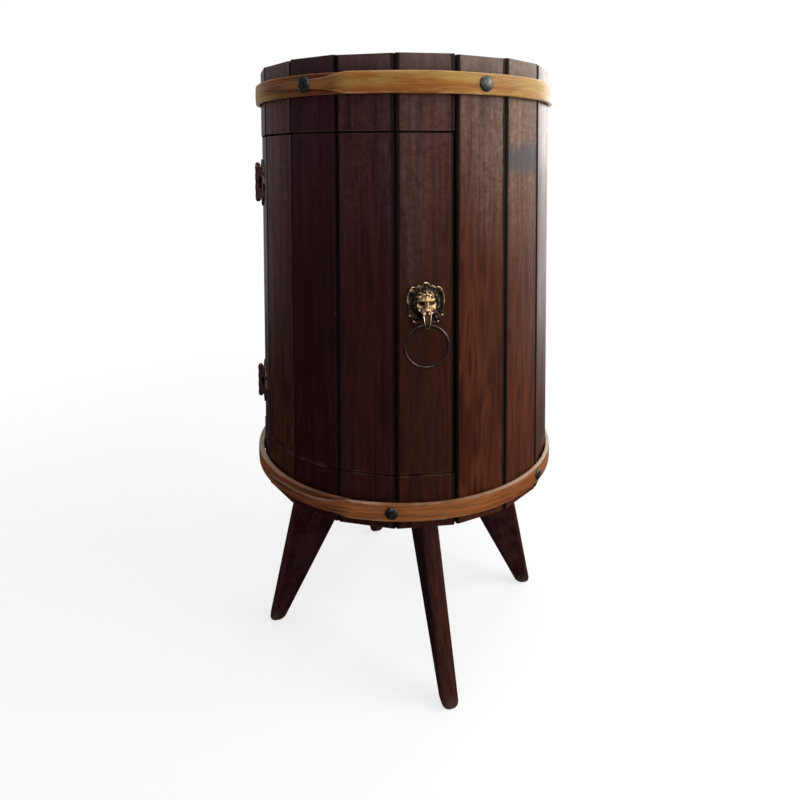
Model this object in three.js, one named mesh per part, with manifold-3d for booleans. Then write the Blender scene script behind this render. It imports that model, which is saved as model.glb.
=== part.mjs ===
// Barrel bar cabinet: a coopered body of tapered staves on four splayed board legs.
// Millimetres, +Z up. The origin is on the floor, on the axis of the barrel.
// An azimuth of 0 points to -Y, where the pull is, and grows towards +X.
import * as THREE from 'three';
import { mergeVertices } from 'three/addons/utils/BufferGeometryUtils.js';
import Module from 'manifold-3d';

// Barrel, measured over the corners of its staves
const RIM_HEIGHT = 900.5;
const BASE_HEIGHT = 314.5;
const RIM_RADIUS = 200;
const BASE_RADIUS = 235;
const STAVE_COUNT = 18;
const STAVE_THICKNESS = 15;
const ARRIS_WIDTH = 2.2;
const ARRIS_DEPTH = 2.6;
const HINGE_SEAM_DEG = -83.1;

// Clearances
const JOINT_GAP = 0.4;
const SEAT_GAP = 0.3;
const HOLE_CLEARANCE = 0.3;
const CUT_OVERRUN = 5;

// Door, cut out of its own staves
const DOOR_STAVES = 5;
const HEADER_HEIGHT = 81.5;
const SILL_HEIGHT = 75.3;
const DOOR_END_GAP = 2.5;
const DOOR_SIDE_GAP = 3;
const DOOR_RECESS = 1.2;
const DOOR_THICKNESS = 13.3;

// Boards of the body
const BOARD_THICKNESS = 16;
const BOARD_TONGUE = 7;
const CROZE_DEPTH = 5;
const TRAY_DEPTH = 18;
const CHIME_DEPTH = 14;
const BOARD_BEVEL = 12;
const SHELF_THICKNESS = 15;
const SHELF_RISE_SHARE = 0.479;
const SHELF_SETBACK = 45;
const SHELF_CLEARANCE = 1.5;
const LEDGE_HEIGHT = 20;
const LEDGE_THICKNESS = 12;
const LEDGE_MARGIN_DEG = 4;

// Rails behind the header and the sill, and battens behind the door
const RAIL_HEIGHT = 50;
const RAIL_THICKNESS = 12;
const RAIL_LAP = 9;
const RAIL_REACH_DEG = 8;
const BATTEN_HEIGHT = 44;
const BATTEN_THICKNESS = 12;
const BATTEN_MARGIN_DEG = 3;

// Hoops: one strip each, with its outer end lapped over its inner end
const TOP_HOOP_WIDTH = 23.7;
const BOTTOM_HOOP_WIDTH = 25.6;
const HOOP_THICKNESS = 5.4;
const HOOP_ARRIS = 0.8;
const HOOP_GAP = 0.5;
const HOOP_FEATHER = 1.6;
const TOP_HOOP_DROP = 18.6;
const BOTTOM_HOOP_RISE = 13.7;
const HOOP_BOW = 3;
const HOOP_BOW_AT_DEG = -82;
const HOOP_BOW_REACH_DEG = 50;
const LAP_START_DEG = -18.5;
const LAP_LENGTH_DEG = 38.5;
const LAP_SCARF_DEG = 14;
const LAP_RAMP_DEG = 10;
const LAP_STEP_DEG = 4;
const LAP_BEND_MARGIN_DEG = 1;

// Domed nails of the hoops
const NAIL_SPACING_DEG = 60;
const TOP_NAILS = 6;
const BOTTOM_NAILS = 5;
const NAIL_HEAD_RADIUS = 9;
const NAIL_HEAD_HEIGHT = 5.2;
const NAIL_HEAD_EDGE = 1.6;
const NAIL_SHANK_RADIUS = 1.7;
const NAIL_LENGTH = 15;
const NAIL_BITE = 1.1;
const BOTTOM_NAIL_OFFSET_DEG = -1.3;

// Wood screws through the floor board into the legs
const LEG_SCREW_HEAD_HEIGHT = 1.8;
const LEG_SCREW_LENGTH = 55;
const LEG_SCREW_RADIUS = 2.2;
const LEG_SCREW_HEAD_RADIUS = 4.4;
const LEG_SCREW_INSET = 30;

// Hinges, face-fixed over the seam
const HINGE_INSET = 60;
const KNUCKLE_LENGTH = 44;
const KNUCKLE_RADIUS = 4.1;
const KNUCKLE_LIFT = 5.4;
const KNUCKLE_GAP = 0.5;
const PIN_RADIUS = 1.8;
const FINIAL_RADIUS = 3.1;
const FINIAL_LENGTH = 6;
const LEAF_THICKNESS = 2.2;
const LEAF_BEVEL = 0.6;
const LEAF_LENGTH = 44;
const LEAF_HEIGHT = 66;
const LEAF_SEAM_GAP = 1.2;
const LEAF_WRAP = 8;
const LEAF_HOLE_RADIUS = 2;

// Lion head pull
const PULL_RISE = 225;
const PLATE_WIDTH = 50;
const PLATE_HEIGHT = 58;
const PLATE_THICKNESS = 1.8;
const PLATE_BEVEL = 0.7;
const HEAD_DEPTH = 18;
const RING_RADIUS = 27.2;
const RING_WIRE = 1.9;
const RING_DROP = 23;
const RING_LIFT = 11;
const RING_CLEARANCE = 0.8;
const MOUTH_LUG_RADIUS = 5;
const MOUTH_LUG_WIDTH = 10;
const MOUTH_DROP = 1;

// Magnetic catch under the shelf
const CATCH_LENGTH = 38;
const CATCH_HEIGHT = 14;
const CATCH_DEPTH = 15;
const CATCH_CORNER = 2;
const CATCH_LUG = 9;
const CATCH_PLATE_LENGTH = 30;
const CATCH_PLATE_THICKNESS = 1.2;
const CATCH_AIR_GAP = 0.4;

// Legs: flat boards, tapered and splayed
const LEG_THICKNESS = 26.5;
const LEG_FOOT_REACH = 14.5;
const LEG_FOOT_WIDTH = 26.4;
const LEG_TOP_SETBACK = 63;
const LEG_TOP_WIDTH = 113;
const LEG_EDGE_RADIUS = 9;
const LEG_FOOT_RADIUS = 11;
const LEG_LEAN_DEG = 3.5;
const LEG_FOOT_INSET = 8;
const LEG_AZIMUTHS_DEG = { front_leg: 14, right_leg: 101.5, back_leg: 194, left_leg: -82 };

// Sizes worked out from those above
const rad = THREE.MathUtils.degToRad;
const STAVE_ANGLE = (2 * Math.PI) / STAVE_COUNT;
const HALF_STAVE = STAVE_ANGLE / 2;
const HINGE_SEAM = rad(HINGE_SEAM_DEG);
const TAPER = (BASE_RADIUS - RIM_RADIUS) / (RIM_HEIGHT - BASE_HEIGHT);
const CORNER_LEAN = Math.atan(TAPER);
const FACE_LEAN = Math.atan(TAPER * Math.cos(HALF_STAVE));
const HEADER_BOTTOM = RIM_HEIGHT - HEADER_HEIGHT;
const SILL_TOP = BASE_HEIGHT + SILL_HEIGHT;
const DOOR_TOP = HEADER_BOTTOM - DOOR_END_GAP;
const DOOR_BOTTOM = SILL_TOP + DOOR_END_GAP;
const DOOR_INNER_DEPTH = DOOR_RECESS + DOOR_THICKNESS;
const TOP_BOARD_TOP = RIM_HEIGHT - TRAY_DEPTH;
const TOP_BOARD_BOTTOM = TOP_BOARD_TOP - BOARD_THICKNESS;
const FLOOR_BOARD_BOTTOM = BASE_HEIGHT + CHIME_DEPTH;
const FLOOR_BOARD_TOP = FLOOR_BOARD_BOTTOM + BOARD_THICKNESS;
const SHELF_BOTTOM = FLOOR_BOARD_TOP + SHELF_RISE_SHARE * (TOP_BOARD_BOTTOM - FLOOR_BOARD_TOP);
const SHELF_TOP = SHELF_BOTTOM + SHELF_THICKNESS;
const PULL_HEIGHT = DOOR_BOTTOM + PULL_RISE;
const HINGE_HEIGHTS = { upper: DOOR_TOP - HINGE_INSET, lower: DOOR_BOTTOM + HINGE_INSET };

const cornerRadius = (z) => RIM_RADIUS + (RIM_HEIGHT - z) * TAPER;
const faceDistance = (z) => cornerRadius(z) * Math.cos(HALF_STAVE);
const innerDistance = (z) => faceDistance(z) - STAVE_THICKNESS;
const seamAzimuth = (index) => HINGE_SEAM + index * STAVE_ANGLE;
const staveAzimuth = (index) => seamAzimuth(index) + HALF_STAVE;
const outward = (azimuth) => new THREE.Vector3(Math.sin(azimuth), -Math.cos(azimuth), 0);
const sideways = (azimuth) => new THREE.Vector3(Math.cos(azimuth), Math.sin(azimuth), 0);

// Materials
function staveWood() {
  return new THREE.MeshStandardMaterial({ color: 0x3b1f1a, roughness: 0.45, metalness: 0 });
}

function innerWood() {
  return new THREE.MeshStandardMaterial({ color: 0x5a3626, roughness: 0.65, metalness: 0 });
}

function hoopWood() {
  return new THREE.MeshStandardMaterial({ color: 0xb67a32, roughness: 0.4, metalness: 0 });
}

function legWood() {
  return new THREE.MeshStandardMaterial({ color: 0x42211f, roughness: 0.5, metalness: 0 });
}

function agedBrass() {
  return new THREE.MeshStandardMaterial({ color: 0x7a5a2c, roughness: 0.4, metalness: 0.9 });
}

function copperBronze() {
  return new THREE.MeshStandardMaterial({ color: 0x5c4038, roughness: 0.45, metalness: 0.85 });
}

function plainSteel() {
  return new THREE.MeshStandardMaterial({ color: 0x8d8d90, roughness: 0.4, metalness: 0.9 });
}

function catchPlastic() {
  return new THREE.MeshStandardMaterial({ color: 0x6b4a33, roughness: 0.6, metalness: 0 });
}

// Solids: joining, cutting and closing
const wasm = await Module();
wasm.setup();

function toSolid(geometry) {
  const bare = geometry.clone();
  bare.deleteAttribute('normal');
  bare.deleteAttribute('uv');
  const merged = mergeVertices(bare);
  const vertProperties = new Float32Array(merged.attributes.position.array);
  const triVerts = new Uint32Array(merged.index.array);
  return new wasm.Manifold(new wasm.Mesh({ numProp: 3, vertProperties, triVerts }));
}

function toGeometry(solid) {
  const mesh = solid.getMesh();
  const geometry = new THREE.BufferGeometry();
  geometry.setAttribute('position', new THREE.BufferAttribute(new Float32Array(mesh.vertProperties), 3));
  geometry.setIndex(new THREE.BufferAttribute(new Uint32Array(mesh.triVerts), 1));
  return geometry;
}

function cut(geometry, ...tools) {
  const solid = tools.reduce((rest, tool) => rest.subtract(toSolid(tool)), toSolid(geometry));
  return toGeometry(solid);
}

function join(...geometries) {
  const [first, ...others] = geometries.map(toSolid);
  return toGeometry(others.reduce((whole, other) => whole.add(other), first));
}

function signedVolume(positions, index) {
  const corners = [new THREE.Vector3(), new THREE.Vector3(), new THREE.Vector3()];
  let volume = 0;
  for (let face = 0; face < index.length; face += 3) {
    corners.forEach((corner, turn) => corner.fromArray(positions, index[face + turn] * 3));
    volume += corners[0].dot(corners[1].clone().cross(corners[2])) / 6;
  }
  return volume;
}

// A closed skin over equal outlines, one for each level, with a cap on both ends
function loft(outlines, place) {
  const clockwise = THREE.ShapeUtils.isClockWise(outlines[0]);
  const levels = clockwise ? outlines.map((outline) => [...outline].reverse()) : outlines;
  const count = levels[0].length;
  const positions = levels.flatMap((outline, level) => (
    outline.flatMap((point) => place(point, level).toArray())
  ));
  const index = [];
  for (let level = 0; level < levels.length - 1; level += 1) {
    for (let side = 0; side < count; side += 1) {
      const near = level * count + side;
      const next = level * count + ((side + 1) % count);
      index.push(near, next, next + count, near, next + count, near + count);
    }
  }
  const last = (levels.length - 1) * count;
  for (const [a, b, c] of THREE.ShapeUtils.triangulateShape(levels[0], [])) {
    index.push(c, b, a);
  }
  for (const [a, b, c] of THREE.ShapeUtils.triangulateShape(levels[levels.length - 1], [])) {
    index.push(last + a, last + b, last + c);
  }
  if (signedVolume(positions, index) < 0) {
    index.reverse();
  }
  const geometry = new THREE.BufferGeometry();
  geometry.setAttribute('position', new THREE.Float32BufferAttribute(positions, 3));
  geometry.setIndex(index);
  return geometry;
}

// A turned solid about +Z from a profile of radius and height pairs
function turned(profile, segments, phase = 0) {
  const points = profile.map(([radius, height]) => new THREE.Vector2(radius, height));
  return new THREE.LatheGeometry(points, segments, phase, 2 * Math.PI).rotateX(Math.PI / 2);
}

// A place on the barrel: X goes round it, Y climbs its side and Z points out of it
function sidePlace(azimuth, distance, z, lean) {
  const out = outward(azimuth);
  const up = new THREE.Vector3(0, 0, 1);
  const climb = up.clone().multiplyScalar(Math.cos(lean)).addScaledVector(out, -Math.sin(lean));
  const normal = out.clone().multiplyScalar(Math.cos(lean)).addScaledVector(up, Math.sin(lean));
  const place = new THREE.Matrix4().makeBasis(sideways(azimuth), climb, normal);
  return place.setPosition(out.multiplyScalar(distance).setZ(z));
}

function placed(object, place) {
  object.applyMatrix4(place);
  return object;
}

function piece(name, geometry, material) {
  const mesh = new THREE.Mesh(geometry, material);
  mesh.name = name;
  return mesh;
}

// Fasteners: a domed nail and a round-headed screw, along -Z from their seat at the origin
function domedNail(headRadius, headHeight, shankRadius, length) {
  const rise = headHeight - NAIL_HEAD_EDGE;
  return turned([
    [0, -length],
    [shankRadius, -length + shankRadius],
    [shankRadius, 0],
    [headRadius, 0],
    [headRadius, NAIL_HEAD_EDGE],
    [headRadius * Math.cos(Math.PI / 6), NAIL_HEAD_EDGE + rise * Math.sin(Math.PI / 6)],
    [headRadius * Math.cos(Math.PI / 3), NAIL_HEAD_EDGE + rise * Math.sin(Math.PI / 3)],
    [0, headHeight],
  ], 10);
}

function roundScrew(headRadius, headHeight, shankRadius, length) {
  return turned([
    [0, -length],
    [shankRadius, -length + 2 * shankRadius],
    [shankRadius, 0],
    [headRadius, 0],
    [headRadius * Math.cos(Math.PI / 5), headHeight * Math.sin(Math.PI / 3)],
    [0, headHeight],
  ], 8);
}

// The drill is a little deeper and wider than the shank that it lets in
function drill(shankRadius, length) {
  const depth = length + HOLE_CLEARANCE + CUT_OVERRUN;
  const radius = shankRadius + HOLE_CLEARANCE;
  const bit = new THREE.CylinderGeometry(radius, radius, depth, 8);
  return bit.rotateX(Math.PI / 2).translate(0, 0, depth / 2 - length - HOLE_CLEARANCE);
}

// Staves. An outline holds the distance sideways and the distance from the barrel's axis.
function staveOutline(z, recess, thickness, trim) {
  const outer = faceDistance(z) - recess;
  const inner = outer - thickness;
  const halfWidth = (distance) => distance * Math.tan(HALF_STAVE);
  const left = (distance) => -halfWidth(distance) + trim.left;
  const right = (distance) => halfWidth(distance) - trim.right;
  const shoulder = outer - ARRIS_DEPTH;
  const soften = 1 - Math.SQRT1_2;
  return [
    new THREE.Vector2(left(inner), inner),
    new THREE.Vector2(right(inner), inner),
    new THREE.Vector2(right(shoulder), shoulder),
    new THREE.Vector2(right(outer) - ARRIS_WIDTH * soften, outer - ARRIS_DEPTH * soften),
    new THREE.Vector2(right(outer) - ARRIS_WIDTH, outer),
    new THREE.Vector2(left(outer) + ARRIS_WIDTH, outer),
    new THREE.Vector2(left(outer) + ARRIS_WIDTH * soften, outer - ARRIS_DEPTH * soften),
    new THREE.Vector2(left(shoulder), shoulder),
  ];
}

function staveBlank(bottom, top, recess = 0, thickness = STAVE_THICKNESS, trim = {}) {
  const sides = { left: JOINT_GAP / 2, right: JOINT_GAP / 2, ...trim };
  const outlines = [bottom, top].map((z) => staveOutline(z, recess, thickness, sides));
  return loft(outlines, (point, level) => new THREE.Vector3(point.x, -point.y, level ? top : bottom));
}

// The croze is the groove that lets a board into the staves
function boardTongue(boardBottom) {
  const low = boardBottom + (BOARD_THICKNESS - BOARD_TONGUE) / 2;
  return { low, high: low + BOARD_TONGUE };
}

function crozeCutter(boardBottom) {
  const tongue = boardTongue(boardBottom);
  const low = tongue.low - SEAT_GAP;
  const high = tongue.high + SEAT_GAP;
  const radius = (innerDistance(tongue.high) + CROZE_DEPTH) / Math.cos(HALF_STAVE);
  return turned([[0, low], [radius, low], [radius, high], [0, high]], STAVE_COUNT, HALF_STAVE);
}

const topCroze = crozeCutter(TOP_BOARD_BOTTOM);
const floorCroze = crozeCutter(FLOOR_BOARD_BOTTOM);

// Hoops. The lap is where the outer end of the strip lies over the inner end.
function lapAngle(azimuth, start) {
  return THREE.MathUtils.euclideanModulo(start - azimuth, 2 * Math.PI);
}

function scarfThickness(turn) {
  const share = Math.min(1, turn / rad(LAP_SCARF_DEG));
  return HOOP_FEATHER + (HOOP_THICKNESS - HOOP_FEATHER) * share;
}

function lapLift(turn) {
  const over = turn - 2 * Math.PI;
  if (over >= 0) {
    return scarfThickness(over) + HOOP_GAP;
  }
  const ramp = Math.max(0, 1 + over / rad(LAP_RAMP_DEG));
  return ramp * (HOOP_FEATHER + HOOP_GAP);
}

function stripThickness(turn) {
  const over = Math.max(0, turn - 2 * Math.PI) / rad(LAP_LENGTH_DEG);
  const tongue = HOOP_THICKNESS - (HOOP_THICKNESS - HOOP_FEATHER) * over;
  return Math.min(scarfThickness(turn), tongue);
}

// Width of the tongue, as shares of the strip, from the start of the lap to its tip
const TONGUE_SHARES = [[0, 1], [0.2, 0.56], [0.38, 0.42], [0.72, 0.34], [1, 0.08]];

function widthShare(turn) {
  const over = (turn - 2 * Math.PI) / rad(LAP_LENGTH_DEG);
  if (over <= 0) {
    return 1;
  }
  const next = Math.max(1, TONGUE_SHARES.findIndex(([along]) => along >= Math.min(over, 1)));
  const [from, wide] = TONGUE_SHARES[next - 1];
  const [to, narrow] = TONGUE_SHARES[next];
  return THREE.MathUtils.mapLinear(Math.min(over, 1), from, to, wide, narrow);
}

// The strip bends at each corner of the barrel and in the middle of each stave
function hoopTurns(lapStart) {
  const whole = 2 * Math.PI;
  const firstCorner = THREE.MathUtils.euclideanModulo(lapStart - HINGE_SEAM, HALF_STAVE);
  const bends = Array.from({ length: 2 * STAVE_COUNT }, (_, index) => firstCorner + index * HALF_STAVE);
  const turns = [0, ...bends.filter((turn) => turn > rad(LAP_BEND_MARGIN_DEG))];
  for (let over = 0; over <= rad(LAP_LENGTH_DEG + LAP_STEP_DEG / 2); over += rad(LAP_STEP_DEG)) {
    turns.push(whole + over);
  }
  return turns;
}

const HOOPS = {
  top: {
    bottom: RIM_HEIGHT - TOP_HOOP_DROP - TOP_HOOP_WIDTH,
    width: TOP_HOOP_WIDTH,
    bow: 0,
    firstNail: staveAzimuth(2),
    nails: TOP_NAILS,
  },
  bottom: {
    bottom: BASE_HEIGHT + BOTTOM_HOOP_RISE,
    width: BOTTOM_HOOP_WIDTH,
    bow: HOOP_BOW,
    firstNail: seamAzimuth(DOOR_STAVES - 1) + rad(BOTTOM_NAIL_OFFSET_DEG),
    nails: BOTTOM_NAILS,
  },
};

// A hoop bows away from the staves on one side
function bowLift(bow, azimuth) {
  const apart = THREE.MathUtils.euclideanModulo(azimuth - rad(HOOP_BOW_AT_DEG), 2 * Math.PI);
  const share = Math.min(1, Math.min(apart, 2 * Math.PI - apart) / rad(HOOP_BOW_REACH_DEG));
  return (bow * (1 + Math.cos(Math.PI * share))) / 2;
}

function hoopStrip({ bottom, width, bow }) {
  const middle = bottom + width / 2;
  const lapStart = rad(LAP_START_DEG);
  const turns = hoopTurns(lapStart);
  const outlines = turns.map((turn) => {
    const half = (width * widthShare(turn)) / 2;
    const inner = HOOP_GAP + lapLift(turn) + bowLift(bow, lapStart - turn);
    const outer = inner + stripThickness(turn);
    const arris = Math.min(HOOP_ARRIS, half / 2);
    return [
      new THREE.Vector2(inner, -half),
      new THREE.Vector2(outer - arris, -half),
      new THREE.Vector2(outer, -half + arris),
      new THREE.Vector2(outer, half - arris),
      new THREE.Vector2(outer - arris, half),
      new THREE.Vector2(inner, half),
    ];
  });
  return loft(outlines, (point, level) => {
    const z = middle + point.y;
    return outward(lapStart - turns[level]).multiplyScalar(cornerRadius(z) + point.x).setZ(z);
  });
}

// Height of the strip's outer face over the barrel at an azimuth, on top of any lap
function hoopFace(azimuth, bow) {
  const turn = lapAngle(azimuth, rad(LAP_START_DEG));
  const top = turn < rad(LAP_LENGTH_DEG) ? turn + 2 * Math.PI : turn;
  return HOOP_GAP + lapLift(top) + stripThickness(top) + bowLift(bow, azimuth);
}

function nailPlaces({ bottom, width, bow, firstNail, nails }) {
  const z = bottom + width / 2;
  return Array.from({ length: nails }, (_, index) => {
    const azimuth = firstNail + index * rad(NAIL_SPACING_DEG);
    const distance = cornerRadius(z) + hoopFace(azimuth, bow) - NAIL_BITE;
    return sidePlace(azimuth, distance, z, CORNER_LEAN);
  });
}

const hoopNail = () => domedNail(NAIL_HEAD_RADIUS, NAIL_HEAD_HEIGHT, NAIL_SHANK_RADIUS, NAIL_LENGTH);
const nailDrills = (name) => nailPlaces(HOOPS[name]).map((place) => (
  drill(NAIL_SHANK_RADIUS, NAIL_LENGTH).applyMatrix4(place)
));

function nailedHoop(name) {
  const nails = nailPlaces(HOOPS[name]).map((place) => hoopNail().applyMatrix4(place));
  return join(hoopStrip(HOOPS[name]), ...nails);
}

// Hinges. The leaf's outline is drawn in the first quadrant and mirrored below.
const LEAF_SHARES = [
  { to: [0.12, 0.7] },
  { by: [0.14, 1], to: [0.27, 0.97] },
  { by: [0.42, 0.94], to: [0.43, 0.66] },
  { by: [0.5, 0.82], to: [0.62, 0.74] },
  { by: [0.76, 0.62], to: [0.74, 0.36] },
  { by: [0.84, 0.34], to: [1, 0] },
];

function leafOutline() {
  const halfHeight = LEAF_HEIGHT / 2;
  const shape = new THREE.Shape();
  const x = (share) => LEAF_SEAM_GAP + share * (LEAF_LENGTH - LEAF_SEAM_GAP);
  const y = (share) => share * halfHeight;
  const kneeShare = KNUCKLE_LENGTH / LEAF_HEIGHT;
  shape.moveTo(x(0), y(-kneeShare));
  shape.lineTo(x(0), y(kneeShare));
  for (const { by, to } of LEAF_SHARES) {
    if (by) {
      shape.quadraticCurveTo(x(by[0]), y(by[1]), x(to[0]), y(to[1]));
    } else {
      shape.lineTo(x(to[0]), y(to[1]));
    }
  }
  for (let index = LEAF_SHARES.length - 1; index > 0; index -= 1) {
    const { by } = LEAF_SHARES[index];
    const { to } = LEAF_SHARES[index - 1];
    shape.quadraticCurveTo(x(by[0]), y(-by[1]), x(to[0]), y(-to[1]));
  }
  shape.closePath();
  return shape;
}

const LEAF_SCREW_SHARES = [[0.27, 0.68], [0.27, -0.68], [0.78, 0]];
const FACE_TURN = Math.atan(Math.tan(HALF_STAVE) * Math.cos(CORNER_LEAN));

// The leaf lies on one stave: side is 1 on the door and -1 on the frame
function leafTilt(side) {
  const recess = side > 0 ? DOOR_RECESS : 0;
  const lift = new THREE.Matrix4().makeTranslation(0, 0, SEAT_GAP - recess);
  return new THREE.Matrix4().makeRotationY(side * FACE_TURN).multiply(lift);
}

function leafHoles(side) {
  const length = LEAF_THICKNESS + 2 * CUT_OVERRUN;
  return LEAF_SCREW_SHARES.map(([along, up]) => {
    const bit = new THREE.CylinderGeometry(LEAF_HOLE_RADIUS, LEAF_HOLE_RADIUS, length, 6);
    bit.rotateX(Math.PI / 2);
    bit.translate(side * along * LEAF_LENGTH, (up * LEAF_HEIGHT) / 2, LEAF_THICKNESS / 2);
    return bit.applyMatrix4(leafTilt(side));
  });
}

function knuckle(radius, length, middle) {
  return new THREE.CylinderGeometry(radius, radius, length, 12).translate(0, middle, KNUCKLE_LIFT);
}

function leafPlate(side) {
  const bevel = { bevelThickness: LEAF_BEVEL, bevelSize: LEAF_BEVEL, bevelOffset: -LEAF_BEVEL };
  const plate = new THREE.ExtrudeGeometry(leafOutline(), {
    depth: LEAF_THICKNESS - 2 * LEAF_BEVEL,
    curveSegments: 3,
    bevelSegments: 1,
    ...bevel,
  }).translate(0, 0, LEAF_BEVEL);
  if (side < 0) {
    plate.rotateY(Math.PI).translate(0, 0, LEAF_THICKNESS);
  }
  return plate.applyMatrix4(leafTilt(side));
}

// The wrap carries the plate up to its knuckles
function leafWrap(side, length, middle) {
  const profile = new THREE.Shape([
    new THREE.Vector2(0, KNUCKLE_LIFT - KNUCKLE_RADIUS + PIN_RADIUS),
    new THREE.Vector2(side * LEAF_SEAM_GAP, SEAT_GAP),
    new THREE.Vector2(side * LEAF_WRAP, SEAT_GAP - DOOR_RECESS),
    new THREE.Vector2(side * KNUCKLE_RADIUS, KNUCKLE_LIFT),
    new THREE.Vector2(side * PIN_RADIUS, KNUCKLE_LIFT + PIN_RADIUS),
  ]);
  const block = new THREE.ExtrudeGeometry(profile, { depth: length, bevelEnabled: false });
  return block.rotateX(Math.PI / 2).translate(0, middle + length / 2, 0);
}

function hingeLeaf(side) {
  const third = KNUCKLE_LENGTH / 3;
  const ownMiddles = side > 0 ? [-third, third] : [0];
  const otherMiddles = side > 0 ? [0] : [-third, third];
  const length = third - KNUCKLE_GAP;
  const own = ownMiddles.flatMap((middle) => [
    knuckle(KNUCKLE_RADIUS, length, middle),
    leafWrap(side, length, middle),
  ]);
  const clear = otherMiddles.map((middle) => (
    knuckle(KNUCKLE_RADIUS + KNUCKLE_GAP, third + KNUCKLE_GAP, middle)
  ));
  const bore = knuckle(PIN_RADIUS + HOLE_CLEARANCE, KNUCKLE_LENGTH + CUT_OVERRUN, 0);
  return cut(join(leafPlate(side), ...own), ...clear, bore, ...leafHoles(side));
}

// Ends of the pin, as shares of their radius and their length, from the tip
const FINIAL_SHARES = [[0, 1], [0.66, 0.84], [1, 0.45], [0.84, 0]];

function hingePin() {
  const half = KNUCKLE_LENGTH / 2 + SEAT_GAP;
  const tip = FINIAL_SHARES.map(([wide, along]) => [wide * FINIAL_RADIUS, half + along * FINIAL_LENGTH]);
  const end = [...tip, [PIN_RADIUS, half]];
  const profile = [...end.map(([radius, height]) => [radius, -height]), ...[...end].reverse()];
  return turned(profile, 10).rotateX(-Math.PI / 2).translate(0, 0, KNUCKLE_LIFT);
}

function hingePlace(z) {
  return sidePlace(HINGE_SEAM, cornerRadius(z), z, CORNER_LEAN);
}

function addHinges(cabinet) {
  for (const [name, z] of Object.entries(HINGE_HEIGHTS)) {
    const hinge = new THREE.Group();
    hinge.add(piece(`${name}_hinge_frame_leaf`, hingeLeaf(-1), copperBronze()));
    hinge.add(piece(`${name}_hinge_door_leaf`, hingeLeaf(1), copperBronze()));
    hinge.add(piece(`${name}_hinge_pin`, hingePin(), copperBronze()));
    cabinet.add(placed(hinge, hingePlace(z)));
  }
}

// Curved battens: each follows the inner faces of the staves that it joins
function battenAzimuths(from, to) {
  const seams = Array.from({ length: STAVE_COUNT }, (_, index) => seamAzimuth(index - 1));
  return [from, ...seams.filter((seam) => seam > from && seam < to), to];
}

function polygonFactor(azimuth) {
  const fromSeam = THREE.MathUtils.euclideanModulo(azimuth - HINGE_SEAM, STAVE_ANGLE);
  return 1 / Math.cos(fromSeam - HALF_STAVE);
}

function curvedBatten(from, to, bottom, top, backing, thickness) {
  const azimuths = battenAzimuths(from, to);
  const outline = [
    new THREE.Vector2(backing(bottom) - thickness, bottom),
    new THREE.Vector2(backing(bottom), bottom),
    new THREE.Vector2(backing(top), top),
    new THREE.Vector2(backing(top) - thickness, top),
  ];
  return loft(azimuths.map(() => outline), (point, level) => {
    const azimuth = azimuths[level];
    return outward(azimuth).multiplyScalar(point.x * polygonFactor(azimuth)).setZ(point.y);
  });
}

const railBacking = (z) => innerDistance(z) - SEAT_GAP;
const battenBacking = (z) => faceDistance(z) - DOOR_INNER_DEPTH - SEAT_GAP;
const RAIL_ENDS = [HINGE_SEAM - rad(RAIL_REACH_DEG), seamAzimuth(DOOR_STAVES) + rad(RAIL_REACH_DEG)];
const BATTEN_ENDS = [HINGE_SEAM + rad(BATTEN_MARGIN_DEG), seamAzimuth(DOOR_STAVES) - rad(BATTEN_MARGIN_DEG)];

function headerRail() {
  const bottom = HEADER_BOTTOM - RAIL_LAP;
  return curvedBatten(...RAIL_ENDS, bottom, bottom + RAIL_HEIGHT, railBacking, RAIL_THICKNESS);
}

function sillRail() {
  const top = SILL_TOP + RAIL_LAP;
  return curvedBatten(...RAIL_ENDS, top - RAIL_HEIGHT, top, railBacking, RAIL_THICKNESS);
}

const doorIndexes = Array.from({ length: DOOR_STAVES }, (_, index) => index);

function doorBatten(z) {
  const bottom = z - BATTEN_HEIGHT / 2;
  return curvedBatten(...BATTEN_ENDS, bottom, bottom + BATTEN_HEIGHT, battenBacking, BATTEN_THICKNESS);
}

// The drills that reach a stave, turned back to where the stave is made
function turnedBack(tools, index) {
  return tools.map((tool) => tool.rotateZ(-staveAzimuth(index)));
}

function fixedStave(index) {
  const tools = turnedBack([...nailDrills('top'), ...nailDrills('bottom')], index);
  const besideDoor = DOOR_SIDE_GAP / 2;
  const trim = {};
  if (index === STAVE_COUNT - 1) {
    trim.right = besideDoor;
  }
  if (index === DOOR_STAVES) {
    trim.left = besideDoor;
  }
  const blank = staveBlank(BASE_HEIGHT, RIM_HEIGHT, 0, STAVE_THICKNESS, trim);
  return cut(blank, topCroze, floorCroze, ...tools);
}

function doorStave(index) {
  const trim = {};
  if (index === 0) {
    trim.left = DOOR_SIDE_GAP / 2;
  }
  if (index === DOOR_STAVES - 1) {
    trim.right = DOOR_SIDE_GAP / 2;
  }
  return staveBlank(DOOR_BOTTOM, DOOR_TOP, DOOR_RECESS, DOOR_THICKNESS, trim);
}

function headerStave(index) {
  return cut(staveBlank(HEADER_BOTTOM, RIM_HEIGHT), topCroze, ...turnedBack(nailDrills('top'), index));
}

function sillStave(index) {
  return cut(staveBlank(BASE_HEIGHT, SILL_TOP), floorCroze, ...turnedBack(nailDrills('bottom'), index));
}

function addStave(parent, name, geometry, index) {
  const stave = piece(name, geometry, staveWood());
  stave.rotation.z = staveAzimuth(index);
  parent.add(stave);
}

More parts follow.
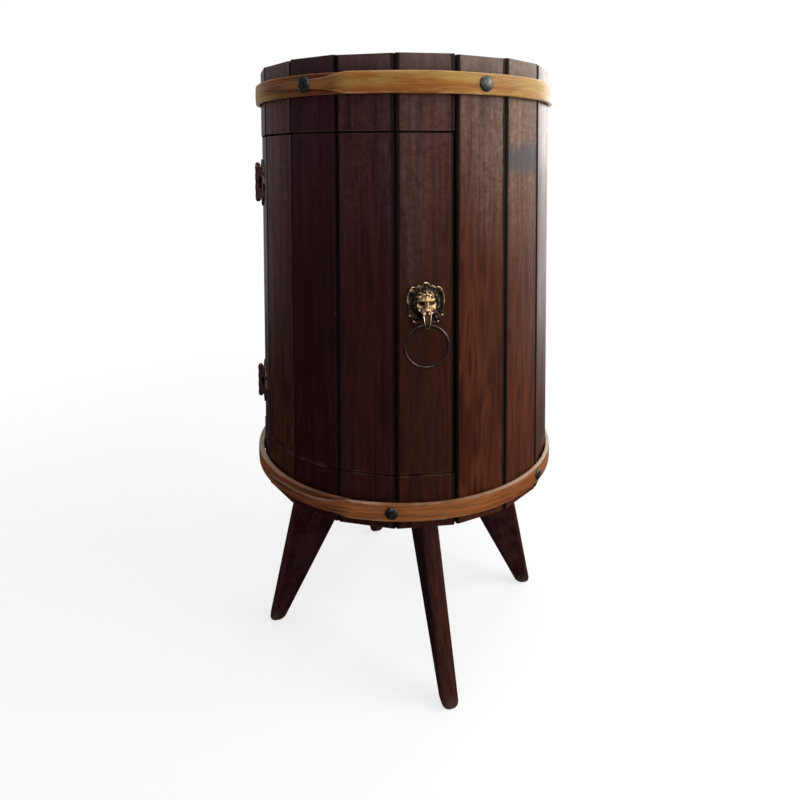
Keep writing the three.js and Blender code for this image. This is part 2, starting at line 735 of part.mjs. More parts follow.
function addStaves(cabinet) {
  for (let index = DOOR_STAVES; index < STAVE_COUNT; index += 1) {
    const number = String(index - DOOR_STAVES + 1).padStart(2, '0');
    addStave(cabinet, `stave_${number}`, fixedStave(index), index);
  }
  for (const index of doorIndexes) {
    addStave(cabinet, `header_stave_${index + 1}`, headerStave(index), index);
    addStave(cabinet, `sill_stave_${index + 1}`, sillStave(index), index);
    addStave(cabinet, `door_stave_${index + 1}`, doorStave(index), index);
  }
}

// Boards: eighteen-sided, with a bevelled edge that leaves a tongue for the croze
function board(bottom) {
  const top = bottom + BOARD_THICKNESS;
  const tongue = boardTongue(bottom);
  const corner = 1 / Math.cos(HALF_STAVE);
  const edge = (innerDistance(tongue.high) + CROZE_DEPTH - SEAT_GAP) * corner;
  const shoulder = (innerDistance(top) - SEAT_GAP) * corner;
  const flat = shoulder - BOARD_BEVEL;
  return turned([
    [0, bottom],
    [flat, bottom],
    [shoulder, tongue.low],
    [edge, tongue.low],
    [edge, tongue.high],
    [shoulder, tongue.high],
    [flat, top],
    [0, top],
  ], STAVE_COUNT, seamAzimuth(0));
}

function shelf() {
  const radius = (innerDistance(SHELF_TOP) - SHELF_CLEARANCE) / Math.cos(HALF_STAVE);
  const profile = [[0, SHELF_BOTTOM], [radius, SHELF_BOTTOM], [radius, SHELF_TOP], [0, SHELF_TOP]];
  const disc = turned(profile, STAVE_COUNT, seamAzimuth(0));
  const reach = 2 * BASE_RADIUS;
  const knife = new THREE.BoxGeometry(reach, reach, SHELF_THICKNESS + 2 * CUT_OVERRUN);
  const front = innerDistance(SHELF_TOP) - SHELF_SETBACK;
  knife.translate(0, -front - reach / 2, (SHELF_BOTTOM + SHELF_TOP) / 2);
  knife.rotateZ(staveAzimuth((DOOR_STAVES - 1) / 2));
  return cut(disc, knife);
}

// The ledge runs round the fixed staves and carries the shelf
function shelfLedge() {
  const top = SHELF_BOTTOM - SEAT_GAP;
  const from = seamAzimuth(DOOR_STAVES) + rad(LEDGE_MARGIN_DEG);
  const to = seamAzimuth(STAVE_COUNT) - rad(LEDGE_MARGIN_DEG);
  return curvedBatten(from, to, top - LEDGE_HEIGHT, top, railBacking, LEDGE_THICKNESS);
}

// Legs. The board is drawn with its distance from the barrel's axis along X and its height along Y.
function legEdge(z, foot, head) {
  return foot + ((head - foot) * z) / BASE_HEIGHT;
}

const CORNER_SHARES = [0, 1 / 3, 2 / 3, 1];
const FOOT_SHARES = [0, 1 / 3, 2 / 3, 1];

// A level of the leg: its rounded section, drawn in from the board's sides by an inset at the foot
function legSection(z, inset) {
  const footOuter = BASE_RADIUS + LEG_FOOT_REACH;
  const headOuter = BASE_RADIUS - LEG_TOP_SETBACK;
  const outer = legEdge(z, footOuter, headOuter) - inset;
  const inner = legEdge(z, footOuter - LEG_FOOT_WIDTH, headOuter - LEG_TOP_WIDTH) + inset;
  const half = LEG_THICKNESS / 2 - inset;
  const round = LEG_EDGE_RADIUS - inset / 2;
  const corner = (x, y, turn) => CORNER_SHARES.map((share) => {
    const angle = ((turn + share) * Math.PI) / 2;
    return new THREE.Vector2(x + round * Math.cos(angle), y + round * Math.sin(angle));
  });
  return [
    ...corner(outer - round, half - round, 0),
    ...corner(inner + round, half - round, 1),
    ...corner(inner + round, -half + round, 2),
    ...corner(outer - round, -half + round, 3),
  ];
}

// The foot is rounded under, down to a flat where it stands
function legLevels() {
  const foot = FOOT_SHARES.map((share) => ({
    z: LEG_FOOT_RADIUS * (1 - Math.cos((share * Math.PI) / 2)),
    inset: LEG_FOOT_INSET * (1 - Math.sin((share * Math.PI) / 2)),
  }));
  return [...foot, { z: BASE_HEIGHT, inset: 0 }, { z: FLOOR_BOARD_BOTTOM - SEAT_GAP, inset: 0 }];
}

const legLean = (z) => Math.tan(rad(LEG_LEAN_DEG)) * (BASE_HEIGHT / 2 - z);

function legScrewPlaces(azimuth) {
  const z = FLOOR_BOARD_TOP + SEAT_GAP;
  const headOuter = legEdge(FLOOR_BOARD_BOTTOM, BASE_RADIUS + LEG_FOOT_REACH, BASE_RADIUS - LEG_TOP_SETBACK);
  return [LEG_SCREW_INSET, LEG_TOP_WIDTH - LEG_SCREW_INSET].map((inset) => (
    new THREE.Matrix4().makeRotationZ(azimuth)
      .multiply(new THREE.Matrix4().makeTranslation(legLean(FLOOR_BOARD_BOTTOM), -(headOuter - inset), z))
  ));
}

const allLegScrewPlaces = () => Object.values(LEG_AZIMUTHS_DEG).flatMap((degrees) => (
  legScrewPlaces(rad(degrees))
));

function leg() {
  const levels = legLevels();
  const blank = loft(levels.map(({ z, inset }) => legSection(z, inset)), (point, level) => {
    const { z } = levels[level];
    return new THREE.Vector3(point.y + legLean(z), -point.x, z);
  });
  return cut(blank, ...legScrewPlaces(0).map((place) => (
    drill(LEG_SCREW_RADIUS, LEG_SCREW_LENGTH).applyMatrix4(place)
  )));
}

function legScrew() {
  return roundScrew(LEG_SCREW_HEAD_RADIUS, LEG_SCREW_HEAD_HEIGHT, LEG_SCREW_RADIUS, LEG_SCREW_LENGTH);
}

function addLegs(cabinet) {
  for (const [name, degrees] of Object.entries(LEG_AZIMUTHS_DEG)) {
    const mesh = piece(name, leg(), legWood());
    mesh.rotation.z = rad(degrees);
    cabinet.add(mesh);
    legScrewPlaces(rad(degrees)).forEach((place, index) => {
      cabinet.add(placed(piece(`${name}_screw_${index + 1}`, legScrew(), plainSteel()), place));
    });
  }
}

function addBoards(cabinet) {
  const floor = cut(board(FLOOR_BOARD_BOTTOM), ...allLegScrewPlaces().map((place) => (
    drill(LEG_SCREW_RADIUS, LEG_SCREW_LENGTH).applyMatrix4(place)
  )));
  cabinet.add(piece('top_board', board(TOP_BOARD_BOTTOM), staveWood()));
  cabinet.add(piece('floor_board', floor, innerWood()));
  cabinet.add(piece('shelf', shelf(), innerWood()));
  cabinet.add(piece('shelf_ledge', shelfLedge(), innerWood()));
  cabinet.add(piece('header_rail', headerRail(), innerWood()));
  cabinet.add(piece('sill_rail', sillRail(), innerWood()));
}

function addBattens(cabinet) {
  cabinet.add(piece('door_batten_upper', doorBatten(HINGE_HEIGHTS.upper), innerWood()));
  cabinet.add(piece('door_batten_lower', doorBatten(HINGE_HEIGHTS.lower), innerWood()));
}

function addHoops(cabinet) {
  for (const name of Object.keys(HOOPS)) {
    cabinet.add(piece(`${name}_hoop`, nailedHoop(name), hoopWood()));
  }
}

// Lion head pull, drawn on the door's face: X sideways, Y up the stave and Z outwards.
// The right half of the plate's outline, as shares of half its width and half its height.
const PLATE_SHARES = [
  { by: [0.12, 1.02], to: [0.24, 0.82] },
  { by: [0.34, 0.94], to: [0.48, 0.78] },
  { by: [0.74, 0.9], to: [0.86, 0.62] },
  { by: [1, 0.3], to: [0.94, -0.06] },
  { by: [0.86, -0.2], to: [0.9, -0.3] },
  { by: [1.02, -0.38], to: [0.9, -0.5] },
  { by: [0.66, -0.46], to: [0.72, -0.66] },
  { by: [0.7, -0.86], to: [0.46, -0.78] },
  { by: [0.24, -0.74], to: [0.16, -0.92] },
  { by: [0.08, -1], to: [0, -1] },
];

function plateOutline() {
  const shape = new THREE.Shape();
  const x = (share) => (share * PLATE_WIDTH) / 2;
  const y = (share) => (share * PLATE_HEIGHT) / 2;
  shape.moveTo(0, y(1));
  for (const { by, to } of PLATE_SHARES) {
    shape.quadraticCurveTo(x(by[0]), y(by[1]), x(to[0]), y(to[1]));
  }
  for (let index = PLATE_SHARES.length - 1; index >= 0; index -= 1) {
    const { by } = PLATE_SHARES[index];
    const end = index ? PLATE_SHARES[index - 1].to : [0, 1];
    shape.quadraticCurveTo(x(-by[0]), y(by[1]), x(-end[0]), y(end[1]));
  }
  return shape;
}

// Head lumps: place and half-sizes as shares of half the plate's width, half its height and the head's depth
const HEAD_SHARES = [
  { at: [0, 0.12, 0.1], size: [0.66, 0.66, 0.4] },
  { at: [0, 0.22, 0.34], size: [0.44, 0.46, 0.42] },
  { at: [0, 0.56, 0.3], size: [0.26, 0.24, 0.3] },
  { at: [0.2, 0.4, 0.62], size: [0.18, 0.1, 0.2] },
  { at: [-0.2, 0.4, 0.62], size: [0.18, 0.1, 0.2] },
  { at: [0, 0.16, 0.66], size: [0.13, 0.26, 0.3] },
  { at: [0.15, -0.12, 0.64], size: [0.19, 0.16, 0.32] },
  { at: [-0.15, -0.12, 0.64], size: [0.19, 0.16, 0.32] },
  { at: [0, -0.01, 0.86], size: [0.12, 0.08, 0.14] },
  { at: [0, -0.34, 0.46], size: [0.18, 0.18, 0.3] },
  { at: [0.5, 0.5, 0.2], size: [0.16, 0.16, 0.22] },
  { at: [-0.5, 0.5, 0.2], size: [0.16, 0.16, 0.22] },
  { at: [0.44, -0.08, 0.26], size: [0.2, 0.28, 0.28] },
  { at: [-0.44, -0.08, 0.26], size: [0.2, 0.28, 0.28] },
];

function headLump({ at, size }) {
  const unit = [PLATE_WIDTH / 2, PLATE_HEIGHT / 2, HEAD_DEPTH];
  const lump = new THREE.SphereGeometry(1, 10, 7).rotateX(Math.PI / 2);
  lump.scale(...size.map((share, axis) => share * unit[axis]));
  return lump.translate(...at.map((share, axis) => share * unit[axis]));
}

// The lug under the mouth, which the ring passes through
function mouthLug() {
  const barrel = new THREE.CylinderGeometry(MOUTH_LUG_RADIUS, MOUTH_LUG_RADIUS, MOUTH_LUG_WIDTH, 12);
  barrel.rotateZ(Math.PI / 2).translate(0, -RING_DROP, RING_LIFT);
  const height = RING_DROP - MOUTH_DROP;
  const depth = RING_LIFT + MOUTH_LUG_RADIUS / 2;
  const neck = new THREE.BoxGeometry(MOUTH_LUG_WIDTH, height, depth);
  neck.translate(0, height / 2 - RING_DROP, depth / 2);
  return join(barrel, neck);
}

function lionPlate() {
  const plate = new THREE.ExtrudeGeometry(plateOutline(), {
    depth: PLATE_THICKNESS - 2 * PLATE_BEVEL,
    bevelThickness: PLATE_BEVEL,
    bevelSize: PLATE_BEVEL,
    bevelOffset: -PLATE_BEVEL,
    bevelSegments: 1,
    curveSegments: 2,
  }).translate(0, 0, PLATE_BEVEL);
  const reach = PLATE_WIDTH + PLATE_HEIGHT;
  const behind = new THREE.BoxGeometry(reach, reach, HEAD_DEPTH).translate(0, 0, -HEAD_DEPTH / 2);
  const eyeRadius = RING_WIRE + RING_CLEARANCE;
  const eye = new THREE.CylinderGeometry(eyeRadius, eyeRadius, PLATE_WIDTH, 12);
  eye.rotateZ(Math.PI / 2).translate(0, -RING_DROP, RING_LIFT);
  return cut(join(plate, ...HEAD_SHARES.map(headLump), mouthLug()), behind, eye);
}

function pullPlace() {
  const distance = faceDistance(PULL_HEIGHT) - DOOR_RECESS + SEAT_GAP;
  return sidePlace(staveAzimuth(DOOR_STAVES - 1), distance, PULL_HEIGHT, FACE_LEAN);
}

function addPull(cabinet) {
  const pull = new THREE.Group();
  pull.add(piece('lion_plate', lionPlate(), agedBrass()));
  const ring = piece('pull_ring', new THREE.TorusGeometry(RING_RADIUS, RING_WIRE, 7, 30), copperBronze());
  ring.geometry.translate(0, -RING_RADIUS, 0);
  ring.position.set(0, -RING_DROP, RING_LIFT);
  ring.rotation.x = FACE_LEAN;
  pull.add(ring);
  cabinet.add(placed(pull, pullPlace()));
}

// Magnetic catch: the case hangs under the shelf and its plate is on the door
function catchPlace(z) {
  const index = DOOR_STAVES - 1;
  return sidePlace(staveAzimuth(index), faceDistance(z) - DOOR_INNER_DEPTH - SEAT_GAP, z, FACE_LEAN);
}

function addCatch(cabinet) {
  const z = SHELF_BOTTOM - SEAT_GAP - CATCH_HEIGHT / 2 - CATCH_CORNER;
  const plateBack = -CATCH_PLATE_THICKNESS;
  const plate = new THREE.BoxGeometry(CATCH_PLATE_LENGTH, CATCH_HEIGHT, CATCH_PLATE_THICKNESS);
  plate.translate(0, 0, plateBack / 2);
  const front = plateBack - CATCH_AIR_GAP;
  const body = new THREE.BoxGeometry(CATCH_LENGTH, CATCH_HEIGHT, CATCH_DEPTH);
  body.translate(0, 0, front - CATCH_DEPTH / 2);
  const lugs = new THREE.BoxGeometry(CATCH_LENGTH + 2 * CATCH_LUG, CATCH_CORNER, CATCH_LUG);
  lugs.translate(0, (CATCH_HEIGHT - CATCH_CORNER) / 2, front - CATCH_DEPTH / 2);
  const house = new THREE.Group();
  house.add(piece('catch_case', join(body, lugs), catchPlastic()));
  house.add(piece('catch_plate', plate, plainSteel()));
  cabinet.add(placed(house, catchPlace(z)));
}

const cabinet = new THREE.Group();
addStaves(cabinet);
addHoops(cabinet);
addBoards(cabinet);
addBattens(cabinet);
addHinges(cabinet);
addPull(cabinet);
addCatch(cabinet);
addLegs(cabinet);

export default cabinet;
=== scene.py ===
import math

import bmesh
import bpy
from mathutils import Matrix, Vector, noise


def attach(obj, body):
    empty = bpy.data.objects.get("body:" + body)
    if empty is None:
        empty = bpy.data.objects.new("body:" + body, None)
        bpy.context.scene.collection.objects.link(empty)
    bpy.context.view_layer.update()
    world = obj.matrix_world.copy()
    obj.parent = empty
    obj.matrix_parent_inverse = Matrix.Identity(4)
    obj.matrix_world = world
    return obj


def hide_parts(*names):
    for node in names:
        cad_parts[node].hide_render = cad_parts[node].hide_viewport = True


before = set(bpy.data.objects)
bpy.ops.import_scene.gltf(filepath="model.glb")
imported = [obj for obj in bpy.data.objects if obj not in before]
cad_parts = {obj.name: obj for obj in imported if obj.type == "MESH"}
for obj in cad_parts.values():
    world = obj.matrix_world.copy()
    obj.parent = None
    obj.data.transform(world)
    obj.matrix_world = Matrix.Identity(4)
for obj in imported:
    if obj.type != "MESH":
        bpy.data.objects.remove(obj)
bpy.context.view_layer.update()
scene = bpy.context.scene

# Camera: it stands 0.79 m high, 0.93 m in front of the barrel's axis, and looks a little down.
# Its picture centre is moved so that the barrel sits in the picture as in the photograph.
PICTURE = 800
FOCAL_LENGTH = 597.8
PICTURE_CENTRE = (407.54, 350.0)
SENSOR = 36
CAMERA_PLACE = (0, -0.9271, 0.7868)
CAMERA_TURN = (90 - 17.617, 0.073, -0.291)
camera = bpy.data.objects.new("camera", bpy.data.cameras.new("camera"))
scene.collection.objects.link(camera)
scene.camera = camera
camera.data.sensor_width = SENSOR
camera.data.lens = FOCAL_LENGTH * SENSOR / PICTURE
camera.data.shift_x = (PICTURE / 2 - PICTURE_CENTRE[0]) / PICTURE
camera.data.shift_y = (PICTURE_CENTRE[1] - PICTURE / 2) / PICTURE
camera.data.clip_start = 0.02
camera.location = CAMERA_PLACE
camera.rotation_euler = [math.radians(degrees) for degrees in CAMERA_TURN]


# Studio: a white floor and a white surround that is brighter on the right, a large soft lamp on the
# right, one above, and two weak ones that only put a sheen on the upper staves.
FLOOR_REACH = 40
FLOOR_DROP = 0.0004
SURROUND_LIGHT = 0.42
WHITE = (1, 1, 1, 1)
FLOOR_WHITE = (0.92, 0.92, 0.92, 1)


class Reading:
    """What a node puts out. Sums and products of readings add the nodes that work them out."""

    def __init__(self, socket):
        self.socket = socket

    def __add__(self, other):
        return maths("ADD", self, other)

    def __radd__(self, other):
        return maths("ADD", other, self)

    def __sub__(self, other):
        return maths("SUBTRACT", self, other)

    def __rsub__(self, other):
        return maths("SUBTRACT", other, self)

    def __mul__(self, other):
        return maths("MULTIPLY", self, other)

    def __truediv__(self, other):
        return maths("DIVIDE", self, other)

    def __rtruediv__(self, other):
        return maths("DIVIDE", other, self)

    def __neg__(self):
        return maths("MULTIPLY", self, -1.0)

    def __abs__(self):
        return maths("ABSOLUTE", self)


def add_node(tree, kind, sockets=None, **settings):
    made = tree.nodes.new(kind)
    for name, value in settings.items():
        setattr(made, name, value)
    for name, value in (sockets or {}).items():
        if isinstance(value, Reading):
            tree.links.new(value.socket, made.inputs[name])
        else:
            made.inputs[name].default_value = value
    return made


def from_node(tree, kind, sockets=None, output=0, **settings):
    return Reading(add_node(tree, kind, sockets, **settings).outputs[output])


def tree_of(*values):
    return next(value.socket.id_data for value in values if isinstance(value, Reading))


def maths(operation, *values):
    return from_node(tree_of(*values), "ShaderNodeMath", dict(enumerate(values)), operation=operation)


def vector_maths(operation, *values, output=0):
    return from_node(tree_of(*values), "ShaderNodeVectorMath", dict(enumerate(values)), output,
                     operation=operation)


def parts_of(vector):
    return [Reading(part) for part in add_node(tree_of(vector), "ShaderNodeSeparateXYZ", {0: vector}).outputs]


def ramp(value, start, end, low=0.0, high=1.0, soft=False):
    """Low where the value is at its start, high where it is at its end, and level beyond them."""
    return from_node(tree_of(value), "ShaderNodeMapRange", {
        "Value": value, "From Min": start, "From Max": end, "To Min": low, "To Max": high,
    }, interpolation_type="SMOOTHSTEP" if soft else "LINEAR")


def new_material(name):
    material = bpy.data.materials.new(name)
    material.use_nodes = True
    material.node_tree.nodes.clear()
    return material, material.node_tree


def new_piece(name, mesh):
    piece = bpy.data.objects.new(name, mesh)
    scene.collection.objects.link(piece)
    return piece


def is_ray(tree, way):
    return from_node(tree, "ShaderNodeLightPath", output=f"Is {way} Ray")


def is_seen_directly(tree):
    return maths("MAXIMUM", maths("MAXIMUM", is_ray(tree, "Camera"), is_ray(tree, "Glossy")),
                 is_ray(tree, "Transmission"))


def mirrored_light(tree, way, share=1.0):
    """White, but in mirror-like surfaces dim on the left and brighter behind on the right."""
    x, y = parts_of(vector_maths("NORMALIZE", way))[:2]
    bright = ramp(x, -0.3, 0.65, 0.17, soft=True) * ramp(y, 0.3, 0.75, 1.0, 3.0, soft=True) * share
    return from_node(tree, "ShaderNodeMix", {0: is_ray(tree, "Glossy"), 2: 1.0, 3: bright})


def studio_world():
    world = bpy.data.worlds.new("studio")
    world.use_nodes = True
    tree = world.node_tree
    tree.nodes.clear()
    lit = from_node(tree, "ShaderNodeBackground", {"Color": WHITE, "Strength": SURROUND_LIGHT})
    way = from_node(tree, "ShaderNodeTexCoord", output="Generated")
    seen = from_node(tree, "ShaderNodeBackground", {"Color": WHITE, "Strength": mirrored_light(tree, way)})
    mix = from_node(tree, "ShaderNodeMixShader", {0: is_seen_directly(tree), 1: lit, 2: seen})
    add_node(tree, "ShaderNodeOutputWorld", {"Surface": mix})
    return world


def white_floor():
    mesh = bpy.data.meshes.new("floor")
    corners = [(-1, -1), (1, -1), (1, 1), (-1, 1)]
    mesh.from_pydata([(x * FLOOR_REACH, y * FLOOR_REACH, -FLOOR_DROP) for x, y in corners], [], [(0, 1, 2, 3)])
    material, tree = new_material("white_floor")
    paint = from_node(tree, "ShaderNodeBsdfDiffuse", {"Color": FLOOR_WHITE})
    at = from_node(tree, "ShaderNodeTexCoord", output="Object")
    away = vector_maths("LENGTH", at, output="Value")
    far = ramp(away, 0.9, 4.0, 0.08, soft=True)
    glow = from_node(tree, "ShaderNodeEmission", {"Color": WHITE, "Strength": mirrored_light(tree, at, far)})
    glowing = maths("MAXIMUM", is_ray(tree, "Glossy"), ramp(away, 0.6, 1.9, 0.72, soft=True))
    mix = from_node(tree, "ShaderNodeMixShader", {0: is_seen_directly(tree) * glowing, 1: paint, 2: glow})
    add_node(tree, "ShaderNodeOutputMaterial", {"Surface": mix})
    mesh.materials.append(material)
    new_piece("floor", mesh)


def soft_lamp(name, place, aim, width, height, power, colour=(1, 1, 1)):
    lamp = bpy.data.objects.new(name, bpy.data.lights.new(name, "AREA"))
    scene.collection.objects.link(lamp)
    lamp.data.shape = "RECTANGLE"
    lamp.data.size = width
    lamp.data.size_y = height
    lamp.data.energy = power
    lamp.data.color = colour
    lamp.location = place
    lamp.rotation_euler = (Vector(aim) - Vector(place)).to_track_quat("-Z", "Y").to_euler()


scene.view_settings.view_transform = "Standard"
scene.world = studio_world()
white_floor()
soft_lamp("lamp_right", (2.15, -0.55, 1.55), (0, 0, 0.75), 1.6, 1.1, 48, (1, 0.97, 0.94))
soft_lamp("lamp_above", (0.4, -0.6, 3.0), (0, 0, 0.6), 2.0, 2.0, 26)
soft_lamp("lamp_behind_right", (1.35, 1.75, 1.35), (0, 0, 0.8), 1.4, 1.1, 16)
soft_lamp("lamp_front", (0.1, -2.9, 1.75), (0, 0, 0.85), 1.5, 0.5, 11)


# Staves: eighteen tapered oak boards, planed, stained wine red and varnished. Five of them are
# cut into a header, a door and a sill piece. The boards' heads sit in a groove, out of sight.
RIM_HEIGHT = 0.9005
BASE_HEIGHT = 0.3145
RIM_RADIUS = 0.200
BASE_RADIUS = 0.235
STAVE_COUNT = 18
STAVE_THICKNESS = 0.015
STAVE_ARRIS = 0.0034
STAVE_INNER_ARRIS = 0.0006
JOINT_GAP = 0.00012
HINGE_SEAM = math.radians(-83.1)
HALF_STAVE = math.pi / STAVE_COUNT
TAPER = (BASE_RADIUS - RIM_RADIUS) / (RIM_HEIGHT - BASE_HEIGHT)
DOOR_STAVES = 5
DOOR_SIDE_GAP = 0.003
DOOR_END_GAP = 0.0025
DOOR_RECESS = 0.0012
DOOR_THICKNESS = 0.0133
HEADER_BOTTOM = RIM_HEIGHT - 0.0815
SILL_TOP = BASE_HEIGHT + 0.0753
DOOR_TOP = HEADER_BOTTOM - DOOR_END_GAP
DOOR_BOTTOM = SILL_TOP + DOOR_END_GAP
# How far each stave's stain leans from wine red to warm brown, from the hinge seam round the barrel
WARMTH_SHARES = (0.34, 0.38, 0.02, 0.19, 0.38, 0.70, 0.90, 0.60, 0.74, 0.40, 0.56, 0.22, 0.44, 0.66,
                 0.34, 0.12, 0.38, 0.20)
# How far the dark band of the joints, dirt and painted shade, has spread on each stave, as shares of the widest
WIDEST_DIRT_AND_SHADE = 0.0046
DIRT_AND_SHADE_SHARES = (0.5, 0.3, 0.5, 0.85, 1.05, 1.0, 0.85, 0.55, 0.8, 1.0, 0.6, 0.9, 0.7, 1.0, 0.8, 0.6, 0.9, 0.7)
# A grey mark that wet left across a stave, by its height
WATERMARKS = {6: 0.788}
# How much lower than the rim each stave was sawn
SAW_DROPS = (0.0004, 0.0010, 0.0, 0.0006, 0.0002, 0.0009, 0.0, 0.0007, 0.0003, 0.0008, 0.0, 0.0005, 0.0009,
             0.0002, 0.0006, 0.0, 0.0008, 0.0004)


def corner_radius(z):
    return RIM_RADIUS + (RIM_HEIGHT - z) * TAPER


def face_distance(z):
    return corner_radius(z) * math.cos(HALF_STAVE)


def stave_azimuth(index):
    return HINGE_SEAM + (2 * index + 1) * HALF_STAVE


def named_group(name, kind, inputs, outputs):
    """A node group whose named sockets hold a default value, or only a type where that is given."""
    tree = bpy.data.node_groups.new(name, kind)
    for direction, sockets in (("INPUT", inputs), ("OUTPUT", outputs)):
        for title, value in sockets.items():
            socket = value if isinstance(value, str) else {int: "Int", float: "Float"}[type(value)]
            made = tree.interface.new_socket(title, in_out=direction, socket_type="NodeSocket" + socket)
            if socket != value:
                made.default_value = value
    entry = tree.nodes.new("NodeGroupInput")
    leave = tree.nodes.new("NodeGroupOutput")

    def put_out(**readings):
        for title, reading in readings.items():
            tree.links.new(reading.socket, leave.inputs[title])
        return tree

    return tree, {socket.name: Reading(socket) for socket in entry.outputs}, put_out


def placed_group(tree, group, sockets):
    return [Reading(made) for made in add_node(tree, "ShaderNodeGroup", sockets, node_tree=group).outputs]


def vector_of(x=0.0, y=0.0, z=0.0):
    return from_node(tree_of(x, y, z), "ShaderNodeCombineXYZ", {"X": x, "Y": y, "Z": z})


def noise_of(place, detail, roughness, scale=1.0, board=None):
    """A noise over a place, and a new one for each board where that is given."""
    sockets = {"Vector": place, "Scale": scale, "Detail": detail, "Roughness": roughness}
    if board:
        sockets["W"] = board
    return from_node(tree_of(place), "ShaderNodeTexNoise", sockets, noise_dimensions="4D" if board else "3D")


# The figure of a board, laid along the third coordinate of the board's own place
def wood_figure_group():
    tree, given, put_out = named_group("wood_figure", "ShaderNodeTree", {
        "Place": "Vector", "Board": 0.0, "Cloud Length": 0.35, "Streak Width": 0.008, "Pore Width": 0.0011,
    }, dict.fromkeys(("Cloud", "Streaks", "Rings", "Pores", "Height"), "Float"))
    shift = from_node(tree, "ShaderNodeVectorMath", {0: (3.17, 5.41, 1.73), "Scale": given["Board"]},
                      operation="SCALE")
    place = vector_maths("ADD", given["Place"], shift)

    def stretched(width, length_factor, detail, roughness):
        thin = 1.0 / width
        size = vector_of(thin, thin, thin / length_factor)
        return noise_of(vector_maths("MULTIPLY", place, size), detail, roughness)

    cloud = stretched(given["Cloud Length"] * 0.16, 6.0, 4, 0.55)
    streaks = ramp(stretched(given["Streak Width"], 22.0, 5, 0.66), 0.35, 0.65)
    pores = ramp(stretched(given["Pore Width"], 22.0, 2, 0.5), 0.56, 0.72)
    swell = stretched(given["Streak Width"] * 4.0, 9.0, 2, 0.4)
    rings = ramp(maths("PINGPONG", swell * 9.0, 0.5), 0.08, 0.45, soft=True)
    return put_out(Cloud=ramp(cloud, 0.3, 0.7), Streaks=streaks, Rings=rings, Pores=pores,
                   Height=streaks - pores)


# Wear along the arrises, and a dark band in the joints between boards, which stands for dirt and painted
# shade. Margins hold a board's half width and how far its two ends are.
def edge_wear_group():
    tree, given, put_out = named_group("edge_wear", "ShaderNodeTree", {
        "Place": "Vector", "Margins": "Vector", "Width": 0.002, "Grime Width": 0.0, "Board": 0.0,
    }, {"Wear": "Float", "Grime": "Float"})
    half_width, from_foot, from_head = parts_of(given["Margins"])
    side = half_width - abs(parts_of(given["Place"])[0])
    rub = noise_of(given["Place"], 4, 0.5, 38.0, given["Board"])
    sway = rub * 2.0
    nearest = maths("MINIMUM", abs(side - given["Grime Width"]), maths("MINIMUM", from_foot, from_head))
    wear = ramp(nearest, given["Width"] * sway, 0.0) * ramp(rub, 0.42, 0.62)
    dirt_and_shade_reach = given["Grime Width"] * (sway * 0.3 + 0.7)
    return put_out(Wear=wear, Grime=ramp(side, dirt_and_shade_reach * 1.4, dirt_and_shade_reach, soft=True))


WOOD_FIGURE = wood_figure_group()
EDGE_WEAR = edge_wear_group()
# Where a Mix node has its two colours among its inputs, and the mixed one among its outputs
MIX_COLOURS = (6, 7)
MIX_RESULT = 2


def colour_mix(share, *colours):
    colours = [value if isinstance(value, Reading) else (*value, 1) for value in colours]
    return from_node(tree_of(share, *colours), "ShaderNodeMix", {0: share, **dict(zip(MIX_COLOURS, colours))},
                     MIX_RESULT, data_type="RGBA")


def layered(colour, *layers):
    """A colour with others laid over it one after another, each by its own share."""
    for share, over in layers:
        colour = colour_mix(share, colour, over)
    return colour


def attribute(tree, name, output="Fac"):
    return from_node(tree, "ShaderNodeAttribute", output=output, attribute_name=name)


def finish_material(tree, colour, roughness, height, bump, **sockets):
    relief = from_node(tree, "ShaderNodeBump", {"Height": height, "Strength": 1.0, "Distance": bump})
    more = {title.replace("_", " "): value for title, value in sockets.items()}
    shader = from_node(tree, "ShaderNodeBsdfPrincipled", {"Base Color": colour, "Roughness": roughness,
                                                          "Normal": relief, **more})
    add_node(tree, "ShaderNodeOutputMaterial", {"Surface": shader})


